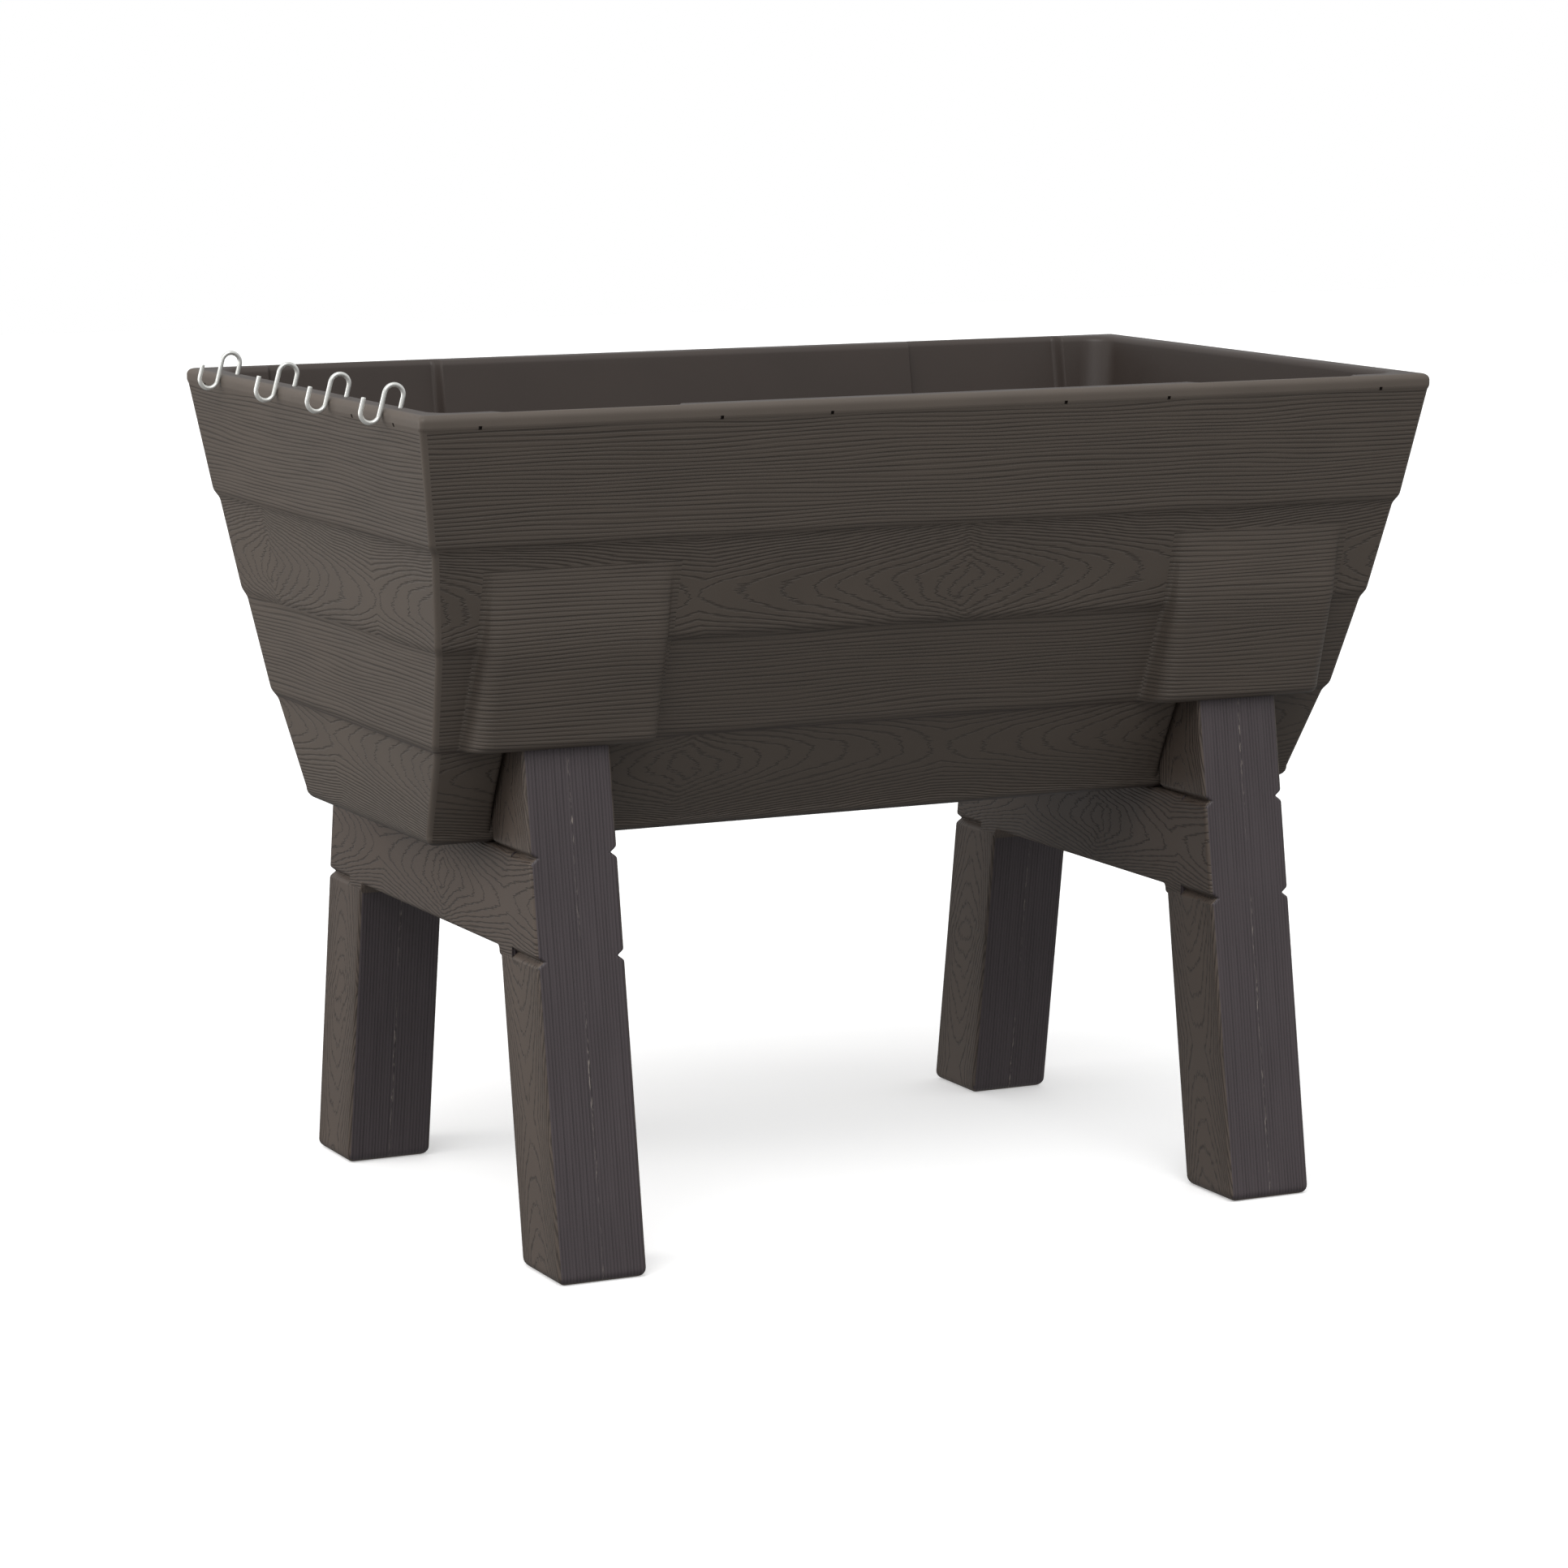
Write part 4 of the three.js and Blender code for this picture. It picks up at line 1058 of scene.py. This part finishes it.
def hook_line():
    """The hook wire's middle line in X and Z; the top of its upper bend is the origin."""
    along = np.array((math.sin(HOOK_LEAN), math.cos(HOOK_LEAN)))
    across = np.array((math.cos(HOOK_LEAN), -math.sin(HOOK_LEAN)))
    upper = np.array((0.0, -HOOK_ARC_RADIUS))
    stem_top = upper - across * HOOK_ARC_RADIUS
    stem_bottom = stem_top - along * HOOK_STEM
    lower = stem_bottom - across * HOOK_ARC_RADIUS
    points = []
    for share in np.linspace(1, 0.08, 6):
        points.append(upper + across * HOOK_ARC_RADIUS - along * HOOK_TIP * share)
    half_turn = np.linspace(0, math.pi, 25)
    for turn in half_turn:
        bend = across * HOOK_ARC_RADIUS * math.cos(turn) + along * HOOK_ARC_RADIUS * math.sin(turn)
        points.append(upper + bend)
    for share in np.linspace(0.1, 0.9, 7):
        points.append(stem_top - along * HOOK_STEM * share)
    for turn in half_turn:
        bend = across * HOOK_ARC_RADIUS * math.cos(turn) - along * HOOK_ARC_RADIUS * math.sin(turn)
        points.append(lower + bend)
    for share in np.linspace(0.08, 1, 6):
        points.append(lower - across * HOOK_ARC_RADIUS + along * HOOK_TIP * share)
    return np.array(points)


def hook_mesh(radius, origin):
    """Points and faces of a bent wire, its cut ends slightly rounded over."""
    line = hook_line()
    forward = np.gradient(line, axis=0)
    forward /= np.linalg.norm(forward, axis=1)[:, None]
    ends = ((0.0, 0.55), (0.0001, 0.82), (0.0004, 0.97))
    centres, tangents, radii = [], [], []
    for inside, share in ends:
        centres.append(line[0] + forward[0] * inside)
        tangents.append(forward[0])
        radii.append(radius * share)
    shifts = [0.0008] + [0.0] * (len(line) - 2) + [-0.0008]
    for i, shift in enumerate(shifts):
        centres.append(line[i] + forward[i] * shift)
        tangents.append(forward[i])
        radii.append(radius)
    for inside, share in reversed(ends):
        centres.append(line[-1] - forward[-1] * inside)
        tangents.append(forward[-1])
        radii.append(radius * share)
    rings = []
    for centre, tangent, reach in zip(centres, tangents, radii):
        side = np.array((tangent[1], -tangent[0]))
        ring = []
        for i in range(20):
            turn = 2 * math.pi * i / 20
            offset = side * reach * math.cos(turn)
            ring.append((
                origin[0] + centre[0] + offset[0],
                origin[1] + reach * math.sin(turn),
                origin[2] + centre[1] + offset[1],
            ))
        rings.append(ring)
    return capped_stack(rings)


def leg_frame_mesh(name, side_x, sizes, materials):
    """A trestle: two leaning legs with V grooves, and the crossbar between them, as one body."""
    centre_x = TUB_MIDDLE_X + side_x * LEG_MIDDLE_X
    half_x, half_y = sizes.leg_width / 2, sizes.leg_depth / 2
    top = LEG_HIGH.z
    grooves = (sizes.stand_height - sizes.crossbar_height, sizes.stand_height)
    groove_shape = ((-0.0068, 0.0), (-0.0056, 0.03), (-0.0046, 0.12), (-0.0030, 0.42), (-0.0014, 0.78),
                    (-0.0005, 0.95), (0.0, 1.0), (0.0005, 0.95), (0.0014, 0.78), (0.0030, 0.42),
                    (0.0046, 0.12), (0.0056, 0.03), (0.0068, 0.0))

    def leg(side_y):
        rows = []
        for turn in quarter_turn(6):
            rows.append((FOOT_ROUND * (1 - math.cos(turn)), FOOT_ROUND * (1 - math.sin(turn)), 0.0))
        rows += [(z, 0.0, 0.0) for z in (0.012, 0.05, 0.10, 0.15, 0.20, 0.25)]
        for level in grooves:
            rows += [(level + dz, 0.0, GROOVE_DEPTH * share) for dz, share in groove_shape]
        rows += [(z, 0.0, 0.0) for z in (0.335, 0.36, 0.43, 0.48, 0.54, 0.60)]
        for turn in quarter_turn(3):
            z = top - LEG_TOP_ROUND * (1 - math.sin(turn))
            rows.append((z, LEG_TOP_ROUND * (1 - math.cos(turn)), 0.0))
        rings = []
        for z, inset, groove in sorted(rows):
            face = sizes.foot_spread / 2 - sizes.leg_lean * z
            middle = side_y * (face - half_y)
            radius = max(LEG_CORNER - inset * 0.6, 0.002)
            outline = rounded_outline(half_x - inset - groove, half_y - inset, radius, 6)
            rings.append([(centre_x + x, middle + y, z) for x, y in outline])
        points, faces = capped_stack(rings)
        return mesh_piece(name, points, faces, materials)

    def crossbar():
        low, high = grooves
        reach = sizes.foot_spread / 2 - sizes.leg_lean * high - half_y
        inner_low = sizes.foot_spread / 2 - sizes.leg_lean * low - sizes.leg_depth
        # From one leg to the other, the underside flares down into each leg.
        along = [(-reach, CROSSBAR_FILLET)]
        for turn in quarter_turn(8):
            y = CROSSBAR_FILLET * (1 - math.cos(turn)) - inner_low
            along.append((y, CROSSBAR_FILLET * (1 - math.sin(turn))))
        along += [(-0.10, 0.0), (-0.05, 0.0), (0.0, 0.0)]
        rings = []
        for y, drop in along + [(-y, drop) for y, drop in reversed(along[:-1])]:
            bottom = low - drop
            middle, half = (high + bottom) / 2, (high - bottom) / 2
            outline = rounded_outline(half_x, half, LEG_CORNER, 6)
            rings.append([(centre_x + a, y, middle + b) for a, b in outline])
        points, faces = capped_stack(rings)
        return mesh_piece(name + "_crossbar", points, faces, materials)

    piece = leg(-1)
    cut(piece, leg(1), "UNION")
    cut(piece, crossbar(), "UNION")
    return piece


def paint_leg_grain(piece, side_x, sizes):
    """Sets each face's grain: figured on the sides, straight on the fronts and backs, and level
    along the crossbar between the grooves."""
    mesh = piece.data
    layer = mesh.uv_layers.get("Grain") or mesh.uv_layers.new(name="Grain")
    centre_x = TUB_MIDDLE_X + side_x * LEG_MIDDLE_X
    low, high = sizes.stand_height - sizes.crossbar_height, sizes.stand_height
    for polygon in mesh.polygons:
        centre, normal = polygon.center, polygon.normal
        on_side = abs(normal.x) > 0.6
        in_bar = low < centre.z < high
        side_y = 1 if centre.y > 0 else -1
        seed = 3.1 * (side_x + 1) + 1.3 * (side_y + 1) + (0.6 if normal.x > 0 else 0.0)
        leg_inner = sizes.foot_spread / 2 - sizes.leg_lean * centre.z - sizes.leg_depth
        between = abs(centre.y) < leg_inner - 0.0005
        for index in polygon.loop_indices:
            x, y, z = mesh.vertices[mesh.loops[index].vertex_index].co
            leg_middle = side_y * (sizes.foot_spread / 2 - sizes.leg_lean * z - sizes.leg_depth / 2)
            if on_side and in_bar:
                # One figure runs the whole length of the crossbar.
                bar_seed = seed - 1.3 * (side_y + 1)
                place = (y + 5.0 + bar_seed * 1.9, z - (low + high) / 2)
            elif on_side:
                place = (z + 9.0 + seed, y - leg_middle)
            elif between and in_bar or between and abs(normal.z) > 0.5:
                place = (y, x - centre_x)
            elif abs(normal.z) > 0.7:
                place = (x, y)
            else:
                place = (z + seed, x - centre_x)
            layer.data[index].uv = place
        polygon.material_index = 1 if on_side else (2 if between or abs(normal.z) > 0.7 else 0)


# ------------------------------------------------------------------ operators
class PLANTER_OT_tub(bpy.types.Operator):
    """Builds the double-walled tub with its lap boards, leg pockets, rim band and inner bays"""

    bl_idname = "planter.tub"
    bl_label = "Tub"

    def execute(self, context):
        sizes, colours = context.scene.planter_sizes, context.scene.planter_colours
        grid = TubGrid(sizes)
        grid.build_outside()
        grid.build_drain()
        grid.build_inside()
        points, faces, places, finishes = grid.faces()
        points = points + np.array((TUB_MIDDLE_X, 0.0, 0.0))
        materials = [
            # The smooth finish's darker brown is painted shade.
            moulded_plastic("moulded_polyethylene_smooth_painted_shade", colours.tub_inside_painted_shade, roughness=0.52),
            moulded_plastic(
                "moulded_polyethylene_plain_grain", colours.tub,
                lines=lambda t, u, v: plain_lines(t, u, v, sizes.line_spacing, 0.6),
                depth=0.00060, line_tone_and_shade=0.36, roughness=0.60,
            ),
            moulded_plastic(
                "moulded_polyethylene_figured_grain", colours.tub,
                lines=lambda t, u, v: figured_lines(t, u, v, sizes.knot_distance, 0.0013),
                depth=0.00060, line_tone_and_shade=0.30, roughness=0.60,
            ),
            # The rim finish also covers the upright corners, as a painted highlight there.
            moulded_plastic("moulded_polyethylene_rim_and_corner_highlight", colours.rim, roughness=0.55),
        ]
        tub = mesh_piece("tub_shell", points, faces, materials, places, finishes)
        for cutter in band_marks(sizes):
            cut(tub, cutter)
        for name in HOOK_NODES:
            low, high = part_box(name)
            hole_x, hole_y = hook_tip_x(low, high, sizes), (low.y + high.y) / 2
            profile = [
                (0, -HOOK_HOLE_DEPTH), (HOOK_HOLE_RADIUS, -HOOK_HOLE_DEPTH),
                (HOOK_HOLE_RADIUS, 0.002), (0, 0.002),
            ]
            body = lathe(profile, 24, (hole_x, hole_y, TUB_HIGH.z))
            cut(tub, mesh_piece("hook_hole", *body, []))
        settle(tub)
        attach(tub, "planter")
        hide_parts("planter_tub")
        return {"FINISHED"}


def hook_tip_x(low, high, sizes):
    """Where the hook's upper tip stands, from the hook's box."""
    line = hook_line()
    origin_x = low.x - (line[:, 0].min() - sizes.hook_wire / 2)
    return origin_x + line[0, 0] + HOOK_HOLE_DEPTH / 2 * math.tan(HOOK_LEAN)


class PLANTER_OT_leg_frames(bpy.types.Operator):
    """Builds the two trestle leg frames with their grooves and crossbars"""

    bl_idname = "planter.leg_frames"
    bl_label = "Leg frames"

    def execute(self, context):
        sizes, colours = context.scene.planter_sizes, context.scene.planter_colours
        materials = [
            moulded_plastic(
                "moulded_polyethylene_straight_grain", colours.leg,
                lines=lambda t, u, v: plain_lines(t, u, v, sizes.leg_line_spacing, 0.12),
                depth=0.00055, line_tone_and_shade=0.34, roughness=0.52, scuffs=colours.scuff,
            ),
            moulded_plastic(
                "moulded_polyethylene_leg_figure", colours.leg_side,
                lines=lambda t, u, v: figured_lines(t, u, v, 0.31, 0.0010),
                depth=0.00045, line_tone_and_shade=0.55, roughness=0.52,
            ),
            moulded_plastic(
                "moulded_polyethylene_leg_edge", colours.leg_side,
                lines=lambda t, u, v: plain_lines(t, u, v, sizes.leg_line_spacing, 0.3),
                depth=0.00030, line_tone_and_shade=0.10, roughness=0.52,
            ),
        ]
        for name, side_x in (("left", -1), ("right", 1)):
            piece = leg_frame_mesh(f"leg_frame_{name}_body", side_x, sizes, materials)
            paint_leg_grain(piece, side_x, sizes)
            settle(piece)
            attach(piece, "planter")
            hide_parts(f"leg_frame_{name}")
        return {"FINISHED"}


class PLANTER_OT_leg_screws(bpy.types.Operator):
    """Builds the pan-head screws and washers that hold the legs under the shelves"""

    bl_idname = "planter.leg_screws"
    bl_label = "Leg screws"

    def execute(self, context):
        colours = context.scene.planter_colours
        zinc = zinc_plate("zinc_plated_screw_steel", colours.zinc, 0.32)
        for number in range(1, 5):
            low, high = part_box(f"leg_screw_{number}")
            centre = box_axis(low, high)
            head, shank = (high.x - low.x) / 2, SCREW_SHANK_RADIUS
            under = high.z - SCREW_HEAD_HEIGHT
            profile = [(0, low.z), (0.0006, low.z), (shank * 0.8, low.z + 0.005)]
            z = low.z + 0.006
            while z < under - 0.003:
                profile += [(shank * 0.80, z), (shank, z + 0.0009), (shank * 0.80, z + 0.0018)]
                z += SCREW_THREAD_PITCH
            profile += [(shank * 0.9, under), (head * 0.96, under), (head, under + 0.0004)]
            for turn in np.linspace(0.15, 1.0, 9) * math.pi / 2:
                reach = head * math.cos(turn) ** 0.6 if turn < math.pi / 2 - 1e-6 else 0.0
                rise = (SCREW_HEAD_HEIGHT - 0.0012) * math.sin(turn)
                profile.append((reach, under + 0.0012 + rise))
            body = lathe(profile, 32, centre)
            screw = mesh_piece(f"pan_head_screw_{number}", *body, [zinc], smooth_angle=32)
            for turn in (0.3, 0.3 + math.pi / 2):
                place, half = (centre[0], centre[1], high.z), (head * 0.52, 0.00062, 0.0019)
                cut(screw, box_cutter("slot", place, half, turn))
            settle(screw, 32)
            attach(screw, "planter")
            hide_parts(f"leg_screw_{number}")

            low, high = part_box(f"leg_screw_washer_{number}")
            centre = box_axis(low, high)
            outer = (high.x - low.x) / 2
            body = ring_body(WASHER_HOLE_RADIUS, outer, low.z, high.z, 0.0003, 40, centre)
            washer = mesh_piece(f"flat_washer_{number}", *body, [zinc], smooth_angle=32)
            settle(washer, 32)
            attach(washer, "planter")
            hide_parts(f"leg_screw_washer_{number}")
        return {"FINISHED"}


def ring_body(inner, outer, bottom, top, edge, segments, centre):
    """Points and faces of a flat ring with softened edges."""
    profile = [
        (inner, bottom + edge), (inner + edge, bottom), (outer - edge, bottom), (outer, bottom + edge),
        (outer, top - edge), (outer - edge, top), (inner + edge, top), (inner, top - edge),
    ]
    points = [p for radius, z in profile for p in circle(radius, z, segments, centre)]
    return points, ring_faces(len(profile), segments, closed_rings=True)


class PLANTER_OT_drain(bpy.types.Operator):
    """Builds the push-in drain plug with its finger bar, and its rubber seal"""

    bl_idname = "planter.drain"
    bl_label = "Drain"

    def execute(self, context):
        colours = context.scene.planter_colours
        rubber = soft_matt("moulded_epdm_rubber", colours.rubber, 0.82, 0.0009)
        low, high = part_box("drain_seal")
        centre = box_axis(low, high)
        body = ring_body(SEAL_HOLE_RADIUS, (high.x - low.x) / 2, low.z, high.z, 0.0007, 56, centre)
        seal = mesh_piece("drain_seal_ring", *body, [rubber])
        settle(seal)
        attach(seal, "drain")
        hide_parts("drain_seal")

        plastic = soft_matt("moulded_polypropylene", colours.plug, 0.48, 0.0012)
        low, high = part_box("drain_plug")
        centre = box_axis(low, high)
        flange = (high.x - low.x) / 2
        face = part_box("drain_seal")[0].z - PLUG_GAP
        plug = PLUG_RADIUS
        profile = [
            (0, face - 0.004), (flange - 0.0015, face - 0.004), (flange - 0.0005, face - 0.0036),
            (flange, face - 0.0025), (flange, face - 0.0004), (flange - 0.0004, face),
            (plug + 0.001, face), (plug, face + 0.001), (plug, high.z - 0.004),
            (plug - 0.0004, high.z - 0.0016), (plug - 0.002, high.z), (plug - 0.0045, high.z),
            (plug - 0.0055, high.z - 0.001), (0, high.z - 0.001),
        ]
        body = mesh_piece("drain_plug_body", *lathe(profile, 56, centre), [plastic])
        outline = rounded_outline(flange - 0.006, 0.003, 0.0024, 5)
        rings = []
        levels = ((low.z, 0.90), (low.z + 0.0004, 0.96), (low.z + 0.0014, 1.0), (face - 0.003, 1.0))
        for z, share in levels:
            along = 0.97 + 0.03 * share
            rings.append([(centre[0] + x * along, centre[1] + y * share, z) for x, y in outline])
        grip = mesh_piece("finger_bar", *capped_stack(rings), [plastic])
        cut(body, grip, "UNION")
        settle(body)
        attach(body, "drain")
        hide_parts("drain_plug")
        return {"FINISHED"}


class PLANTER_OT_hooks(bpy.types.Operator):
    """Bends the four S-hooks from round wire"""

    bl_idname = "planter.hooks"
    bl_label = "S-hooks"

    def execute(self, context):
        sizes, colours = context.scene.planter_sizes, context.scene.planter_colours
        zinc = zinc_plate("zinc_plated_steel_wire", colours.zinc, 0.36)
        line = hook_line()
        radius = sizes.hook_wire / 2
        for number, name in enumerate(HOOK_NODES, 1):
            low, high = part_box(name)
            origin = (low.x - (line[:, 0].min() - radius), (low.y + high.y) / 2, high.z - radius)
            body = hook_mesh(radius, origin)
            hook = mesh_piece(f"wire_hook_{number}", *body, [zinc], smooth_angle=50)
            settle(hook, 50)
            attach(hook, f"hook_{number}")
            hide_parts(name)
        return {"FINISHED"}


class PLANTER_OT_studio(bpy.types.Operator):
    """Sets up the pale floor, the soft lights and the camera"""

    bl_idname = "planter.studio"
    bl_label = "Studio"

    def execute(self, context):
        scene = context.scene
        colours = scene.planter_colours
        material, tree = new_material("studio_floor_paint")
        grain = add_node(tree, "ShaderNodeTexNoise", {"Scale": 3.0, "Detail": 2.0})
        rough = add_node(tree, "ShaderNodeMapRange", {"Value": grain, "To Min": 0.85, "To Max": 0.95})
        shader = add_node(tree, "ShaderNodeBsdfPrincipled", {
            "Base Color": linear(colours.floor), "Roughness": rough, "Specular IOR Level": 0.1,
            "Emission Color": linear(colours.floor), "Emission Strength": 0.4,
        })
        add_node(tree, "ShaderNodeOutputMaterial", {"Surface": shader})
        mesh = bpy.data.meshes.new("studio_floor")
        turns = ((-1, -1), (1, -1), (1, 1), (-1, 1))
        corners = [(x * FLOOR_REACH, y * FLOOR_REACH, 0) for x, y in turns]
        mesh.from_pydata(corners, [], [(0, 1, 2, 3)])
        mesh.materials.append(material)
        floor = bpy.data.objects.new("studio_floor", mesh)
        scene.collection.objects.link(floor)
        floor.visible_diffuse = False
        floor.visible_glossy = False

        world = bpy.data.worlds.new("studio_surround")
        scene.world = world
        world.use_nodes = True
        sky = world.node_tree
        sky.nodes.clear()
        direction = add_node(sky, "ShaderNodeTexCoord").node.outputs["Generated"]
        upward = add_node(sky, "ShaderNodeSeparateXYZ", {"Vector": direction}).node.outputs["Z"]
        strength = add_node(
            sky, "ShaderNodeMapRange",
            {"Value": upward, "From Min": -0.35, "From Max": 0.35, "To Min": 0.26, "To Max": 0.66},
        )
        glow = add_node(sky, "ShaderNodeBackground", {"Color": (1, 1, 1, 1), "Strength": strength})
        backdrop = add_node(sky, "ShaderNodeBackground", {"Color": (1, 1, 1, 1), "Strength": 1.0})
        seen = add_node(sky, "ShaderNodeLightPath")
        glow = add_node(sky, "ShaderNodeMixShader", {0: seen, 1: glow, 2: backdrop})
        add_node(sky, "ShaderNodeOutputWorld", {"Surface": glow})

        side = bpy.data.lights.new("soft_light_left", "AREA")
        side.shape = "DISK"
        side.size = SIDE_LIGHT_SIZE
        side.energy = SIDE_LIGHT_WATTS
        side.color = (1.0, 0.975, 0.95)
        lamp = bpy.data.objects.new("soft_light_left", side)
        lamp.location = SIDE_LIGHT_PLACE
        aim = Vector(SIDE_LIGHT_AIM) - Vector(SIDE_LIGHT_PLACE)
        lamp.rotation_euler = aim.to_track_quat("-Z", "Y").to_euler()
        lamp.visible_camera = False
        scene.collection.objects.link(lamp)
        overhead = bpy.data.lights.new("soft_light_overhead", "SUN")
        overhead.energy = OVERHEAD_STRENGTH
        overhead.angle = OVERHEAD_SPREAD
        lamp = bpy.data.objects.new("soft_light_overhead", overhead)
        lamp.rotation_euler = Vector(OVERHEAD_WAY).to_track_quat("-Z", "Y").to_euler()
        scene.collection.objects.link(lamp)

        azimuth, elevation, roll = (math.radians(a) for a in CAMERA_TURNS)
        back = Vector((
            math.sin(azimuth) * math.cos(elevation), -math.cos(azimuth) * math.cos(elevation),
            math.sin(elevation),
        ))
        right = (-back).cross(Vector((0, 0, 1))).normalized()
        up = right.cross(-back)
        tilted_right = right * math.cos(roll) + up * math.sin(roll)
        tilted_up = up * math.cos(roll) - right * math.sin(roll)
        lens = bpy.data.cameras.new("studio_camera")
        lens.sensor_width = CAMERA_SENSOR
        lens.lens = CAMERA_LENS
        lens.clip_end = 60.0
        camera = bpy.data.objects.new("studio_camera", lens)
        turned = Matrix((tilted_right, tilted_up, back)).transposed().to_4x4()
        camera.matrix_world = Matrix.Translation(CAMERA_PLACE) @ turned
        scene.collection.objects.link(camera)
        scene.camera = camera
        scene.view_settings.view_transform = "Standard"
        return {"FINISHED"}


class PLANTER_PT_panel(bpy.types.Panel):
    """Lists the planter's pieces and sizes"""

    bl_idname = "PLANTER_PT_panel"
    bl_label = "Raised planter"
    bl_space_type = "VIEW_3D"
    bl_region_type = "UI"
    bl_category = "Planter"

    def draw(self, context):
        layout = self.layout
        for operator in OPERATORS:
            layout.operator(operator.bl_idname)
        for group in (context.scene.planter_sizes, context.scene.planter_colours):
            column = layout.column()
            for name in group.__annotations__:
                column.prop(group, name)


OPERATORS = (
    PLANTER_OT_tub, PLANTER_OT_leg_frames, PLANTER_OT_leg_screws, PLANTER_OT_drain,
    PLANTER_OT_hooks, PLANTER_OT_studio,
)
CLASSES = (PlanterSizes, PlanterColours) + OPERATORS + (PLANTER_PT_panel,)


def register():
    for cls in CLASSES:
        bpy.utils.register_class(cls)
    bpy.types.Scene.planter_sizes = PointerProperty(type=PlanterSizes)
    bpy.types.Scene.planter_colours = PointerProperty(type=PlanterColours)


def unregister():
    del bpy.types.Scene.planter_colours
    del bpy.types.Scene.planter_sizes
    for cls in reversed(CLASSES):
        bpy.utils.unregister_class(cls)


def main():
    register()
    for operator in OPERATORS:
        group, name = operator.bl_idname.split(".")
        getattr(getattr(bpy.ops, group), name)()


if __name__ == "__main__":
    main()
